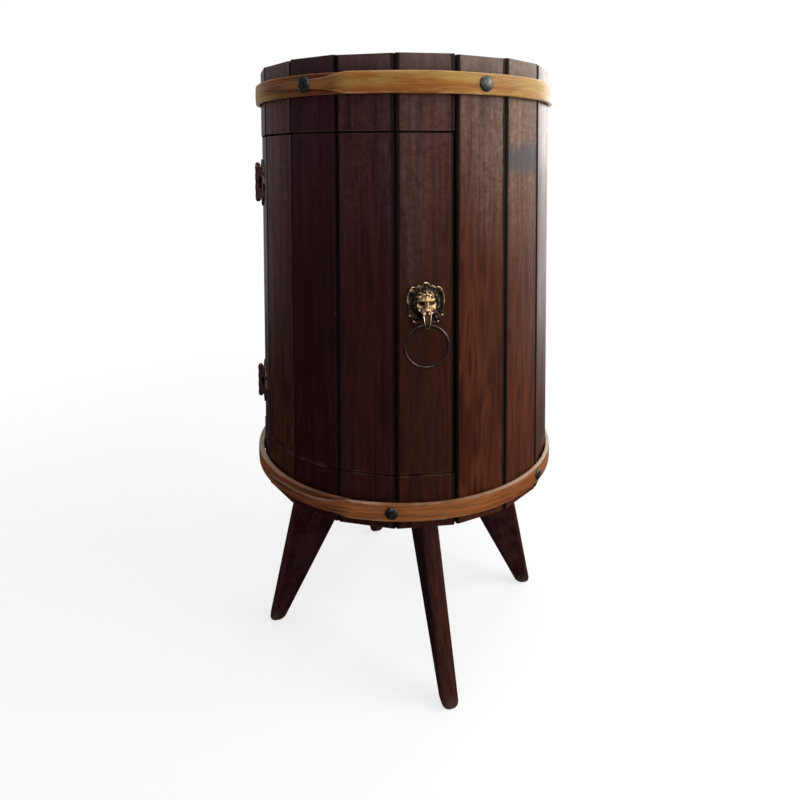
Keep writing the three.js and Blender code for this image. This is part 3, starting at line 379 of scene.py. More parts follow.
def stave_finish():
    material, tree = new_material("wine_stained_oak")
    place = attribute(tree, "board_place", "Vector")
    board, warmth, inside = (attribute(tree, name) for name in ("board", "warmth", "inside"))
    cloud, streaks, rings, pores, relief = placed_group(tree, WOOD_FIGURE, {"Place": place, "Board": board})
    # The dark band along the stave joints is dirt and painted shade
    wear, dirt_and_shade = placed_group(tree, EDGE_WEAR, {
        "Place": place, "Board": board, "Margins": attribute(tree, "margins", "Vector"), "Width": 0.0011,
        "Grime Width": attribute(tree, "joint_dirt_and_shade") * (inside * -0.75 + 1.0)})
    height = parts_of(place)[2]
    # Varnish that the sun has faded and crazed towards the rim, more on the warm staves, and a painted sheen
    # that lightens the top
    sheen_and_sun_height = ramp(cloud * 0.12 + height, 0.68, 0.93, soft=True)
    crazed = ramp(noise_of(place, 3, 0.7, 165.0, board), 0.36, 0.64, 0.5, 1.5)
    sheen_and_fading = sheen_and_sun_height * ((streaks * 0.8 + 0.6) * crazed) * (warmth * 0.60 + 0.10)
    # The grey mark of wet, a pale band at the rim that is dried varnish and painted sheen, and small nicks
    from_mark = streaks * 0.014 + (cloud * 0.012 + abs(height - attribute(tree, "watermark")))
    wet = ramp(from_mark, 0.039, 0.021, 0.0, 0.80, soft=True)
    dried_rim_and_sheen = ramp(height, 0.868, 0.902) * (warmth * 0.34 + 0.05)
    nick = add_node(tree, "ShaderNodeTexVoronoi", {"Vector": place, "W": board, "Scale": 26.0},
                    voronoi_dimensions="4D").outputs
    reach = ramp(parts_of(Reading(nick["Color"]))[0], 0.50, 1.0, 0.0, 0.080)
    nicked = ramp(Reading(nick["Distance"]), reach, 0.0, 0.0, 0.8)
    # Wine red and warm brown of the stain, of its streaks, rings and clouds, and of the faded varnish with its
    # painted sheen
    dark = colour_mix(warmth, (0.0082, 0.0006, 0.0014), (0.027, 0.0050, 0.0022))
    light = colour_mix(warmth, (0.0250, 0.0017, 0.0040), (0.094, 0.0230, 0.0070))
    ring = colour_mix(warmth, (0.0280, 0.0026, 0.0052), (0.150, 0.0400, 0.0110))
    brown = colour_mix(warmth, (0.0125, 0.0036, 0.0038), (0.036, 0.0115, 0.0068))
    sheen_and_fading_colour = colour_mix(warmth, (0.086, 0.040, 0.060), (0.188, 0.124, 0.084))
    # The pale arrises are wear, and also painted highlights along the stave edges
    outside = layered(
        dark, (streaks, light), (rings * 0.4, ring), (cloud * 0.7, brown),
        (pores * 0.35, (0.004, 0.0014, 0.0014)), (sheen_and_fading, sheen_and_fading_colour), (wet, (0.046, 0.045, 0.050)),
        (dried_rim_and_sheen, (0.230, 0.205, 0.180)), (wear * 0.45, (0.120, 0.066, 0.050)),
        (nicked, (0.190, 0.140, 0.120)), (dirt_and_shade * 0.9, (0.0034, 0.0012, 0.0012)))
    bare = layered((0.040, 0.016, 0.010), (streaks, (0.088, 0.040, 0.023)),
                   (dirt_and_shade * 0.8, (0.012, 0.006, 0.004)))
    dull = ramp(cloud, 0.0, 1.0, 0.30, 0.44) + inside * 0.22
    finish_material(tree, colour_mix(inside, outside, bare), dirt_and_shade * 0.3 + dull, relief, 0.0002,
                    Specular_IOR_Level=0.075)
    return material


def position(tree):
    return parts_of(from_node(tree, "GeometryNodeInputPosition"))


def finished(given, shape):
    return from_node(tree_of(shape), "GeometryNodeSetMaterial", {"Geometry": shape, "Material": given["Finish"]})


# A tapered stave, swept up the barrel's side and closed at both ends
def stave_tree():
    tree, given, put_out = named_group("coopered_stave", "GeometryNodeTree", {
        "Bottom": 0.0, "Top": 1.0, "Recess": 0.0, "Thickness": STAVE_THICKNESS, "Left Gap": JOINT_GAP / 2,
        "Right Gap": JOINT_GAP / 2, "Arris": STAVE_ARRIS, "Azimuth": 0.0, "Board": 0.0, "Warmth": 0.0,
        "Watermark Height": -1.0, "Joint Dirt And Shade": 0.004, "Finish": "Material",
    }, {"Mesh": "Geometry"})
    slope = math.tan(HALF_STAVE)
    bottom, top, thickness = given["Bottom"], given["Top"], given["Thickness"]
    x, y, z = position(tree)
    middle = face_distance((bottom + top) * 0.5)
    outer = middle - given["Recess"]
    gaps = given["Left Gap"] + given["Right Gap"]
    section = from_node(tree, "GeometryNodeCurvePrimitiveQuadrilateral", {
        "Height": thickness, "Offset": 0.0, "Bottom Width": (outer - thickness) * (2 * slope) - gaps,
        "Top Width": outer * (2 * slope) - gaps}, mode="TRAPEZOID")
    is_outer = maths("GREATER_THAN", y, 0.0)
    rounded = from_node(tree, "GeometryNodeFilletCurve", {
        "Curve": section, "Count": 4,
        "Radius": is_outer * (given["Arris"] - STAVE_INNER_ARRIS) + STAVE_INNER_ARRIS}, mode="POLY")
    line = from_node(tree, "GeometryNodeCurvePrimitiveLine", {"Start": vector_of(z=bottom),
                                                              "End": vector_of(z=top)})
    path = from_node(tree, "GeometryNodeResampleCurve", {"Curve": line, "Count": 8})
    mesh = from_node(tree, "GeometryNodeCurveToMesh", {"Curve": path, "Fill Caps": True,
                                                       "Profile Curve": rounded})
    side = -x * (face_distance(z) / middle) + (given["Left Gap"] - given["Right Gap"]) * 0.5
    depth = thickness * 0.5 - y
    distance = face_distance(z) - given["Recess"] - depth
    for name, value in (("board_place", vector_of(side, depth, z)),
                        ("margins", vector_of(distance * slope, z - bottom, top - z)),
                        ("inside", maths("GREATER_THAN", depth, thickness * 0.8)), ("board", given["Board"]),
                        ("warmth", given["Warmth"]), ("watermark", given["Watermark Height"]),
                        ("joint_dirt_and_shade", given["Joint Dirt And Shade"])):
        kind = "FLOAT_VECTOR" if name in ("board_place", "margins") else "FLOAT"
        mesh = from_node(tree, "GeometryNodeStoreNamedAttribute",
                         {"Geometry": mesh, "Name": name, "Value": value}, data_type=kind, domain="POINT")
    moved = from_node(tree, "GeometryNodeSetPosition", {"Geometry": mesh,
                                                        "Position": vector_of(side, -distance, z)})
    turned = from_node(tree, "GeometryNodeTransform", {"Geometry": moved,
                                                       "Rotation": vector_of(z=given["Azimuth"])})
    real = from_node(tree, "GeometryNodeRealizeInstances", {"Geometry": turned})
    return put_out(Mesh=finished(given, real))


def grown(name, tree, sizes, start=None):
    """The plain mesh piece that a geometry tree makes with these sizes."""
    source = new_piece(name + "_source", start or bpy.data.meshes.new(name + "_source"))
    modifier = source.modifiers.new("tree", "NODES")
    modifier.node_group = tree
    keys = {item.name: item.identifier for item in tree.interface.items_tree if item.in_out == "INPUT"}
    for title, value in sizes.items():
        modifier[keys[title]] = value
    mesh = bpy.data.meshes.new_from_object(source.evaluated_get(bpy.context.evaluated_depsgraph_get()))
    mesh.name = name
    source.modifiers.remove(modifier)
    bpy.data.objects.remove(source)
    return new_piece(name, mesh)


def fitted(piece, body, slot, *nodes, finish=None):
    """Puts a piece under the body that it moves with, adds its finish where one is given, and hides the nodes
    that it stands for. The slot is not used.
    """
    if finish:
        piece.data.materials.append(finish)
    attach(piece, body)
    if nodes:
        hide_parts(*nodes)


STAVE_TREE = stave_tree()
STAVE_FINISH = stave_finish()


def stave(name, node, body, index, bottom, top, **sizes):
    if top == RIM_HEIGHT:
        top -= SAW_DROPS[index]
    settings = {"Bottom": bottom, "Top": top, "Azimuth": stave_azimuth(index), "Board": float(index) + 0.5,
                "Warmth": WARMTH_SHARES[index], "Watermark Height": WATERMARKS.get(index, -1.0),
                "Joint Dirt And Shade": WIDEST_DIRT_AND_SHADE * DIRT_AND_SHADE_SHARES[index], "Finish": STAVE_FINISH, **sizes}
    fitted(grown(name, STAVE_TREE, settings), body, "stave_wood", node)


for index in range(DOOR_STAVES, STAVE_COUNT):
    beside = {"Left Gap": DOOR_SIDE_GAP / 2} if index == DOOR_STAVES else {}
    if index == STAVE_COUNT - 1:
        beside = {"Right Gap": DOOR_SIDE_GAP / 2}
    number = f"{index - DOOR_STAVES + 1:02d}"
    stave(f"body_stave_{number}", f"stave_{number}", "cabinet", index, BASE_HEIGHT, RIM_HEIGHT, **beside)
for index in range(DOOR_STAVES):
    number = index + 1
    beside = {"Left Gap": DOOR_SIDE_GAP / 2} if index == 0 else {}
    if number == DOOR_STAVES:
        beside = {"Right Gap": DOOR_SIDE_GAP / 2}
    stave(f"header_piece_{number}", f"header_stave_{number}", "cabinet", index, HEADER_BOTTOM, RIM_HEIGHT)
    stave(f"sill_piece_{number}", f"sill_stave_{number}", "cabinet", index, BASE_HEIGHT, SILL_TOP)
    stave(f"door_piece_{number}", f"door_stave_{number}", "door", index, DOOR_BOTTOM, DOOR_TOP,
          Recess=DOOR_RECESS, Thickness=DOOR_THICKNESS, **beside)


# Hoops: two ash strips, steamed and bent round the staves and varnished amber. The outer end of
# each is cut to a long tongue and lies over the feathered inner end.
HOOP_THICKNESS = 0.0053
HOOP_GAP = 0.0005
HOOP_FEATHER = 0.0016
HOOP_CROWN = 0.0005
HOOP_ARRIS = 0.0011
HOOP_SWAY = 0.00035
HOOP_UNEVENNESS = 0.0003
HOOP_BOW_AT = math.radians(-82)
HOOP_BOW_REACH = math.radians(50)
TOP_HOOP_WIDTH = 0.0237
TOP_HOOP_INSET = 0.0186
BOTTOM_HOOP_WIDTH = 0.0256
BOTTOM_HOOP_INSET = 0.0137
LAP_START = math.radians(-18.5)
LAP_LENGTH = math.radians(38.5)
LAP_SCARF = math.radians(14)
LAP_RAMP = math.radians(10)
TONGUE_SHARES = ((0, 1), (0.2, 0.56), (0.38, 0.42), (0.72, 0.34), (1, 0.08))
FULL_TURN = 2 * math.pi
HOOPS = {
    "top": {"middle": RIM_HEIGHT - TOP_HOOP_INSET - TOP_HOOP_WIDTH / 2, "width": TOP_HOOP_WIDTH,
            "bow": 0.0, "golden": 1.0},
    "bottom": {"middle": BASE_HEIGHT + BOTTOM_HOOP_INSET + BOTTOM_HOOP_WIDTH / 2, "width": BOTTOM_HOOP_WIDTH,
               "bow": 0.003, "golden": 0.0},
}


def outward(azimuth):
    return Vector((math.sin(azimuth), -math.cos(azimuth), 0))


def held(value, low=0, high=1):
    return max(low, min(high, value))


def scarf_thickness(turn):
    return HOOP_FEATHER + (HOOP_THICKNESS - HOOP_FEATHER) * min(1, turn / LAP_SCARF)


def lap_lift(turn):
    over = turn - FULL_TURN
    if over >= 0:
        return scarf_thickness(over) + HOOP_GAP
    return max(0, 1 + over / LAP_RAMP) * (HOOP_FEATHER + HOOP_GAP)


def strip_thickness(turn):
    over = max(0, turn - FULL_TURN) / LAP_LENGTH
    return min(scarf_thickness(turn), HOOP_THICKNESS - (HOOP_THICKNESS - HOOP_FEATHER) * over)


def strip_width_share(turn):
    over = (turn - FULL_TURN) / LAP_LENGTH
    if over <= 0:
        return 1
    for (start, wide), (end, narrow) in zip(TONGUE_SHARES, TONGUE_SHARES[1:]):
        if over <= end:
            return wide + (narrow - wide) * (over - start) / (end - start)
    return TONGUE_SHARES[-1][1]


def bow_lift(bow, azimuth):
    apart = (azimuth - HOOP_BOW_AT) % FULL_TURN
    share = min(1, min(apart, FULL_TURN - apart) / HOOP_BOW_REACH)
    return bow * (1 + math.cos(math.pi * share)) / 2


def pointing_out(mesh):
    work = bmesh.new()
    work.from_mesh(mesh)
    bmesh.ops.recalc_face_normals(work, faces=work.faces)
    work.to_mesh(mesh)
    work.free()


def skin(name, rings, marks=None, smooth_angle=0.6):
    """A closed mesh over rings of equal length, capped at both ends, with the marks of each point."""
    count = len(rings[0])
    mesh = bpy.data.meshes.new(name)
    faces = [tuple(reversed(range(count)))]
    for ring in range(len(rings) - 1):
        for side in range(count):
            near, far = ring * count + side, ring * count + (side + 1) % count
            faces.append((near, far, far + count, near + count))
    last = (len(rings) - 1) * count
    faces.append(tuple(range(last, last + count)))
    mesh.from_pydata([point for ring in rings for point in ring], [], faces)
    for title, values in (marks or {}).items():
        if isinstance(values[0], tuple):
            flat = [part for value in values for part in value]
            mesh.attributes.new(title, "FLOAT_VECTOR", "POINT").data.foreach_set("vector", flat)
        else:
            mesh.attributes.new(title, "FLOAT", "POINT").data.foreach_set("value", values)
    pointing_out(mesh)
    mesh.shade_smooth()
    mesh.set_sharp_from_angle(angle=smooth_angle)
    return new_piece(name, mesh)


def strip_section(inner, outer, half):
    arris = min(HOOP_ARRIS, half / 2, (outer - inner) / 2)
    crown = HOOP_CROWN * min(1, half / 0.01)
    lower = []
    for degrees in (-90, -60, -30, 0):
        angle = math.radians(degrees)
        lower.append((outer - crown - arris * (1 - math.cos(angle)), arris * (1 + math.sin(angle)) - half))
    face = []
    for share in (-0.5, 0, 0.5):
        height = (half - arris) * share
        face.append((outer - crown * (height / half) ** 2, height))
    upper = [(out, -height) for out, height in reversed(lower)]
    return [(inner, -half), *lower, *face, *upper, (inner, half)]


def hoop_strip(name, middle, width, bow, golden):
    turns = [math.radians(2 * step) for step in range(180)]
    turns += [FULL_TURN + LAP_LENGTH * step / 40 for step in range(41)]
    rings, place, margins, lap_red, upper_edge_highlight = [], [], [], [], []
    for turn in turns:
        azimuth = LAP_START - turn
        along = turn * corner_radius(middle)
        sway = HOOP_SWAY * noise.noise((along * 9, middle * 50, 3.1))
        worn = HOOP_UNEVENNESS * (1 + noise.noise((along * 14, middle, 8.2)))
        half = width * strip_width_share(turn) / 2 - worn
        inner = HOOP_GAP + lap_lift(turn)
        outer = inner + strip_thickness(turn) + bow_lift(bow, azimuth)
        # The strip is darker red over its inner end, which lies under the tongue, and along the tongue
        lapped = max(0, 1 - turn / (LAP_LENGTH * 1.25))
        over = (turn - FULL_TURN) / LAP_LENGTH
        tongue = min(0.72, (over + 0.05) * 4.5) + 0.28 * over
        stain = held(max(lapped ** 0.5 * 1.15, tongue), low=-math.inf)
        # A painted highlight along the strip's top edge: stronger towards the barrel's left and right sides, all
        # round on the golden hoop, and weaker over the lap
        highlight_to_sides = max(golden * 0.7, held(abs(math.sin(azimuth)) * 1.8 - 0.45, low=0.15))
        ring = []
        for out, height in strip_section(inner, outer, half):
            z = middle + sway + height
            ring.append(outward(azimuth) * (corner_radius(z) + out) + Vector((0, 0, z)))
            place.append((height, out, along))
            margins.append((half, along, turns[-1] * corner_radius(middle) - along))
            lap_red.append(stain)
            upper_edge_highlight.append(held((height - half) / 0.0009 + 1.3) * highlight_to_sides * (1 - 0.7 * stain))
        rings.append(ring)
    return skin(name, rings, {"board_place": place, "margins": margins, "lap_red": lap_red,
                              "upper_edge_highlight": upper_edge_highlight, "golden": [golden] * len(lap_red)})


def hoop_finish():
    material, tree = new_material("amber_varnished_ash")
    place = attribute(tree, "board_place", "Vector")
    cloud, streaks, rings, pores, relief = placed_group(tree, WOOD_FIGURE, {
        "Place": place, "Board": 3.7, "Cloud Length": 0.11, "Streak Width": 0.0042, "Pore Width": 0.0009})
    wear = placed_group(tree, EDGE_WEAR, {"Place": place, "Width": 0.0022, "Board": 1.3,
                                          "Margins": attribute(tree, "margins", "Vector")})[0]
    golden, lap_red = attribute(tree, "golden"), attribute(tree, "lap_red")
    dark = colour_mix(golden, (0.046, 0.0120, 0.0050), (0.140, 0.0380, 0.0080))
    light = colour_mix(golden, (0.370, 0.1180, 0.0240), (0.385, 0.1700, 0.0320))
    olive = colour_mix(golden, (0.175, 0.0740, 0.0240), (0.375, 0.2650, 0.0780))
    russet = colour_mix(golden, (0.150, 0.0300, 0.0090), (0.230, 0.0700, 0.0130))
    pale = colour_mix(golden, (0.420, 0.3250, 0.2350), (0.600, 0.4050, 0.2100))
    toned = colour_mix(ramp(cloud, 0.22, 0.78), russet, olive)
    red = colour_mix(streaks, (0.016, 0.0034, 0.0020), (0.155, 0.0380, 0.0150))
    # The pale colour serves the worn arrises and the painted highlight along the top edge
    colour = layered(dark, (streaks, light), (rings * 0.3, light), (golden * 0.16 + 0.50, toned),
                     (pores * 0.5, dark), (lap_red, red), (wear * (lap_red * -0.36 + 0.42), pale),
                     (attribute(tree, "upper_edge_highlight") * 0.72, pale))
    finish_material(tree, colour, ramp(cloud, 0.0, 1.0, 0.28, 0.42), relief, 0.0002, Specular_IOR_Level=0.1)
    return material


HOOP_FINISH = hoop_finish()
for name, sizes in HOOPS.items():
    fitted(hoop_strip(f"{name}_hoop_strip", **sizes), "cabinet", "hoop_wood", f"{name}_hoop",
           finish=HOOP_FINISH)


# Hoop nails: hand-forged clout nails with domed, hammered heads of blackened steel. They are
# driven through the hoops into the staves, so only their heads show.
NAIL_RADIUS = 0.009
NAIL_RISE = 0.0039
NAIL_EDGE = 0.0012
NAIL_DENT = 0.00035
NAIL_SPACING = math.radians(60)
NAIL_ROWS = {"top": (stave_azimuth(2), 6), "bottom": (HINGE_SEAM + 8 * HALF_STAVE + math.radians(-1.3), 5)}
CORNER_LEAN = math.atan(TAPER)
FACE_LEAN = math.atan(TAPER * math.cos(HALF_STAVE))


def sideways(azimuth):
    return Vector((math.cos(azimuth), math.sin(azimuth), 0))


def on_side(azimuth, distance, z, lean):
    """A place on the barrel: X goes round it, Y climbs its side and Z points out of it."""
    out, up = outward(azimuth), Vector((0, 0, 1))
    climb = up * math.cos(lean) - out * math.sin(lean)
    normal = out * math.cos(lean) + up * math.sin(lean)
    turn = Matrix((sideways(azimuth), climb, normal)).transposed().to_4x4()
    return Matrix.Translation(out * distance + up * z) @ turn


def seat_in(place, spot=(0, 0, 0), way=1):
    """A fastener's seat: a spot in a place, and the direction that its head faces."""
    return place @ Vector(spot), place.to_3x3() @ Vector((0, 0, way))


def fastener_seats(name, seats):
    """Points where fasteners sit, each with the direction that it faces."""
    mesh = bpy.data.meshes.new(name)
    mesh.from_pydata([point for point, facing in seats], [], [])
    facing = mesh.attributes.new("facing", "FLOAT_VECTOR", "POINT")
    facing.data.foreach_set("vector", [part for point, way in seats for part in way])
    return mesh


def nail_seats(hoop):
    middle, bow = HOOPS[hoop]["middle"], HOOPS[hoop]["bow"]
    first, count = NAIL_ROWS[hoop]
    seats = []
    for step in range(count):
        azimuth = first + step * NAIL_SPACING
        turn = (LAP_START - azimuth) % FULL_TURN
        top = turn + FULL_TURN if turn < LAP_LENGTH else turn
        lift = HOOP_GAP + lap_lift(top) + strip_thickness(top) + bow_lift(bow, azimuth)
        seats.append(seat_in(on_side(azimuth, corner_radius(middle) + lift, middle, CORNER_LEAN)))
    return seats


def placed_on_seats(given, shape, spread=0.03):
    """Puts the shape on each seat, facing its way, and turned and sized a little at random."""
    tree = tree_of(shape)
    facing = from_node(tree, "GeometryNodeInputNamedAttribute", {"Name": "facing"}, data_type="FLOAT_VECTOR")
    aligned = from_node(tree, "FunctionNodeAlignRotationToVector", {"Vector": facing}, axis="Z")

    def drawn(low, high):
        return from_node(tree, "FunctionNodeRandomValue", {2: low, 3: high, "Seed": given["Seed"]}, 1,
                         data_type="FLOAT")

    turned = from_node(tree, "FunctionNodeRotateRotation", {
        "Rotation": aligned, "Rotate By": vector_of(z=drawn(0.0, FULL_TURN))}, rotation_space="LOCAL")
    put = from_node(tree, "GeometryNodeInstanceOnPoints", {
        "Points": given["Seats"], "Instance": shape, "Rotation": turned, "Scale": drawn(1 - spread, 1.0)})
    return from_node(tree, "GeometryNodeRealizeInstances", {"Geometry": put})


def dome(tree, given, edge, segments, rings):
    """A flat-bottomed dome that stands on its seat, on an upright edge."""
    ball = from_node(tree, "GeometryNodeMeshUVSphere", {"Segments": segments, "Rings": rings, "Radius": 1.0})
    x, y, z = position(tree)
    over = maths("MAXIMUM", z, 0.0) * (given["Head Rise"] - edge) + edge
    foot = over * maths("GREATER_THAN", z, -0.01)
    place = vector_of(x * given["Head Radius"], y * given["Head Radius"], foot - edge * 0.5)
    return from_node(tree, "GeometryNodeSetPosition", {"Geometry": ball, "Position": place})


def smoothed(shape):
    return from_node(tree_of(shape), "GeometryNodeSetShadeSmooth", {"Geometry": shape})


def hammered_nail_tree():
    tree, given, put_out = named_group("hammered_nails", "GeometryNodeTree", {
        "Seats": "Geometry", "Head Radius": NAIL_RADIUS, "Head Rise": NAIL_RISE, "Dent": NAIL_DENT, "Seed": 4,
        "Finish": "Material",
    }, {"Mesh": "Geometry"})
    real = placed_on_seats(given, dome(tree, given, NAIL_EDGE, 28, 18))
    blows = from_node(tree, "ShaderNodeTexVoronoi", {"Scale": 210.0}, "Distance", feature="SMOOTH_F1")
    offset = from_node(tree, "ShaderNodeVectorMath", {
        0: from_node(tree, "GeometryNodeInputNormal"), "Scale": (blows - 0.45) * given["Dent"],
    }, operation="SCALE")
    beaten = from_node(tree, "GeometryNodeSetPosition", {"Geometry": real, "Offset": offset})
    return put_out(Mesh=finished(given, smoothed(beaten)))


# Old metal: a tarnish that gathers in patches, and brighter metal where hands and cloths rub
def tarnish_group():
    tree, given, put_out = named_group("tarnish", "ShaderNodeTree", {
        "Place": "Vector", "Patch Size": 0.01, "Grain Size": 0.001}, {"Patches": "Float", "Grain": "Float"})
    patches = noise_of(given["Place"], 5, 0.6, 1.0 / given["Patch Size"])
    grain = noise_of(given["Place"], 3, 0.6, 1.0 / given["Grain Size"])
    return put_out(Patches=ramp(patches, 0.38, 0.64), Grain=ramp(grain, 0.25, 0.75))


TARNISH = tarnish_group()


def tarnished(tree, patch, grain):
    place = from_node(tree, "ShaderNodeTexCoord", output="Object")
    return placed_group(tree, TARNISH, {"Place": place, "Patch Size": patch, "Grain Size": grain})


def old_metal(name, bright, dull, metallic, smoothest, roughest, patch):
    material, tree = new_material(name)
    patches, grain = tarnished(tree, patch, 0.0012)
    body = from_node(tree, "ShaderNodeNewGeometry", output="Pointiness")
    kept = patches * (1.0 - ramp(body, 0.50, 0.60) * 0.8)
    cover = maths("MAXIMUM", kept, ramp(body, 0.50, 0.40))
    finish_material(tree, colour_mix(cover, bright, dull), ramp(cover, 0.0, 1.0, smoothest, roughest), grain,
                    0.00008, Metallic=metallic)
    return material


NAIL_TREE = hammered_nail_tree()
BLACK_STEEL = old_metal("blackened_steel", (0.075, 0.080, 0.068), (0.0085, 0.0095, 0.0065),
                        0.85, 0.24, 0.48, 0.004)
for name in HOOPS:
    seats = fastener_seats(f"{name}_nail_seats", nail_seats(name))
    nails = grown(f"{name}_hoop_nails", NAIL_TREE, {"Seed": 4, "Finish": BLACK_STEEL}, seats)
    fitted(nails, "cabinet", "steel", f"{name}_hoop")


# Legs: four tapered oak boards, splayed outwards and rounded along their edges and under their
# feet. Each is screwed from above through the floor board.
LEG_THICKNESS = 0.0265
LEG_FOOT_REACH = 0.0141
LEG_FOOT_WIDTH = 0.0258
LEG_TOP_SETBACK = 0.063
LEG_TOP_WIDTH = 0.113
LEG_ROUND = 0.009
LEG_FOOT_ROUND = 0.011
LEG_FOOT_INSET = 0.008
LEG_UNEVENNESS = 0.0003
LEG_LEAN = math.radians(3.5)
LEG_SOCKET = 0.014
LEG_TOP = BASE_HEIGHT + LEG_SOCKET - 0.0003
LEGS = {"front": (14, 21.3), "right": (101.5, 24.9), "back": (194, 29.2), "left": (-82, 33.8)}


def leg_outer_edge(z):
    foot, head = BASE_RADIUS + LEG_FOOT_REACH, BASE_RADIUS - LEG_TOP_SETBACK
    return foot + (head - foot) * z / BASE_HEIGHT


def leg_width(z):
    return LEG_FOOT_WIDTH + (LEG_TOP_WIDTH - LEG_FOOT_WIDTH) * z / BASE_HEIGHT


def leg_shift(z):
    return math.tan(LEG_LEAN) * (BASE_HEIGHT / 2 - z)


def leg_ring(z, inset, azimuth, seed):
    outer = leg_outer_edge(z) - inset
    inner = leg_outer_edge(z) - leg_width(z) + inset
    half = LEG_THICKNESS / 2 - inset
    round_by = LEG_ROUND - inset / 2
    ring, place = [], []
    for quarter, (reach, width) in enumerate(((outer, half), (inner, half), (inner, -half), (outer, -half))):
        reach += round_by if reach == inner else -round_by
        width += -round_by if width > 0 else round_by
        for step in range(9):
            angle = (quarter + step / 8) * math.pi / 2
            x, y = reach + round_by * math.cos(angle), width + round_by * math.sin(angle)
            worn = LEG_UNEVENNESS * noise.noise((x * 30 + seed, y * 60, z * 14))
            ring.append(outward(azimuth) * (x - abs(worn)) + sideways(azimuth) * (y + leg_shift(z))
                        + Vector((0, 0, z)))
            place.append((y, x - (outer + inner) / 2, z))
    return ring, place


def leg(name, degrees, seed):
    azimuth = math.radians(degrees)
    levels = []
    for step in range(9):
        angle = step / 8 * math.pi / 2
        levels.append((LEG_FOOT_ROUND * (1 - math.cos(angle)), LEG_FOOT_INSET * (1 - math.sin(angle))))
    levels += [(LEG_FOOT_ROUND + (LEG_TOP - LEG_FOOT_ROUND) * step / 24, 0) for step in range(1, 25)]
    made = [leg_ring(z, inset, azimuth, seed) for z, inset in levels]
    places = [point for ring, place in made for point in place]
    margins = [(LEG_THICKNESS / 2 + 0.002, max(0.0, z), LEG_TOP - z + 0.02) for x, y, z in places]
    marks = {"board_place": places, "margins": margins, "board": [seed] * len(places)}
    return skin(name, [ring for ring, place in made], marks, 0.9)


def leg_finish():
    material, tree = new_material("dark_stained_leg_oak")
    place, board = attribute(tree, "board_place", "Vector"), attribute(tree, "board")
    cloud, streaks, rings, pores, relief = placed_group(tree, WOOD_FIGURE, {
        "Place": place, "Board": board, "Streak Width": 0.005})
    wear = placed_group(tree, EDGE_WEAR, {"Place": place, "Width": 0.004, "Board": board,
                                          "Margins": attribute(tree, "margins", "Vector")})[0]
    reach, up = parts_of(place)[1:]
    half_width = up * ((LEG_TOP_WIDTH - LEG_FOOT_WIDTH) / 2 / BASE_HEIGHT) + LEG_FOOT_WIDTH / 2
    # A painted highlight: lighter brown along the outer edge of each leg
    lit_outer_edge = ramp(half_width - reach, 0.0115, 0.001, 0.0, 0.75, soft=True)
    kicked = ramp(streaks * 0.02 + up, 0.038, 0.008, 0.0, 0.55, soft=True)
    colour = layered(
        (0.0050, 0.0007, 0.0010), (streaks, (0.0250, 0.0036, 0.0043)),
        (rings * 0.35, (0.0270, 0.0058, 0.0054)), (cloud * 0.5, (0.0140, 0.0040, 0.0038)),
        (pores * 0.5, (0.004, 0.0012, 0.0014)), (wear * 0.3, (0.070, 0.036, 0.028)),
        (lit_outer_edge * (streaks * 0.7 + 0.3), (0.058, 0.0200, 0.0160)), (kicked, (0.085, 0.058, 0.046)))
    finish_material(tree, colour, ramp(cloud, 0.0, 1.0, 0.32, 0.5), relief, 0.00025, Specular_IOR_Level=0.04)
    return material


LEG_FINISH = leg_finish()
for name, (degrees, seed) in LEGS.items():
    fitted(leg(f"{name}_leg_board", degrees, seed), "cabinet", "leg_wood", f"{name}_leg", finish=LEG_FINISH)


# Boards inside: the head board that makes the tray under the rim, the floor board and the shelf are
# pine planks glued edge to edge. Rails, ledge and battens are sawn to the curve of the staves.
PLANK_WIDTH = 0.092
WELD_REACH = 0.00002


def plank_place(tree):
    """Grain along the depth of the cabinet, with a new board for each plank."""
    x, y, z = parts_of(from_node(tree, "ShaderNodeTexCoord", output="Object"))
    planks = x / PLANK_WIDTH
    from_joint = abs(maths("FRACT", planks) - 0.5)
    return vector_of(x, z, y), maths("FLOOR", planks) * 2.3, ramp(from_joint, 0.491, 0.497)


def curved_place(tree):
    """Grain round the cabinet, for a piece sawn to its curve."""
    x, y, z = parts_of(from_node(tree, "ShaderNodeTexCoord", output="Object"))
    return vector_of(z, maths("SQRT", x * x + y * y), maths("ARCTAN2", x, -y) * BASE_RADIUS), 0.7, 0.0


def inner_board_finish(name, lay, dark, light, grey, pore, smoothest=0.42):
    material, tree = new_material(name)
    place, board, joint = lay(tree)
    cloud, streaks, rings, pores, relief = placed_group(tree, WOOD_FIGURE, {
        "Place": place, "Board": board, "Streak Width": 0.0055})
    colour = layered(dark, (streaks, light), (cloud * 0.45, grey), (pores * 0.5, pore), (joint, pore))
    finish_material(tree, colour, ramp(cloud, 0.0, 1.0, smoothest, smoothest + 0.16), relief - joint * 3.0,
                    0.00025, Specular_IOR_Level=0.25)
    return material


def eased_node(name, material, width=0.0008):
    """A CAD node that stays: its sharp edges are eased and it gets its finish."""
    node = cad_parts[name]
    weld = node.modifiers.new("weld", "WELD")
    weld.merge_threshold = WELD_REACH
    bevel = node.modifiers.new("eased_edges", "BEVEL")
    bevel.width = width
    bevel.segments = 2
    bevel.limit_method = "ANGLE"
    bevel.angle_limit = math.radians(25)
    node.material_slots[0].material = material


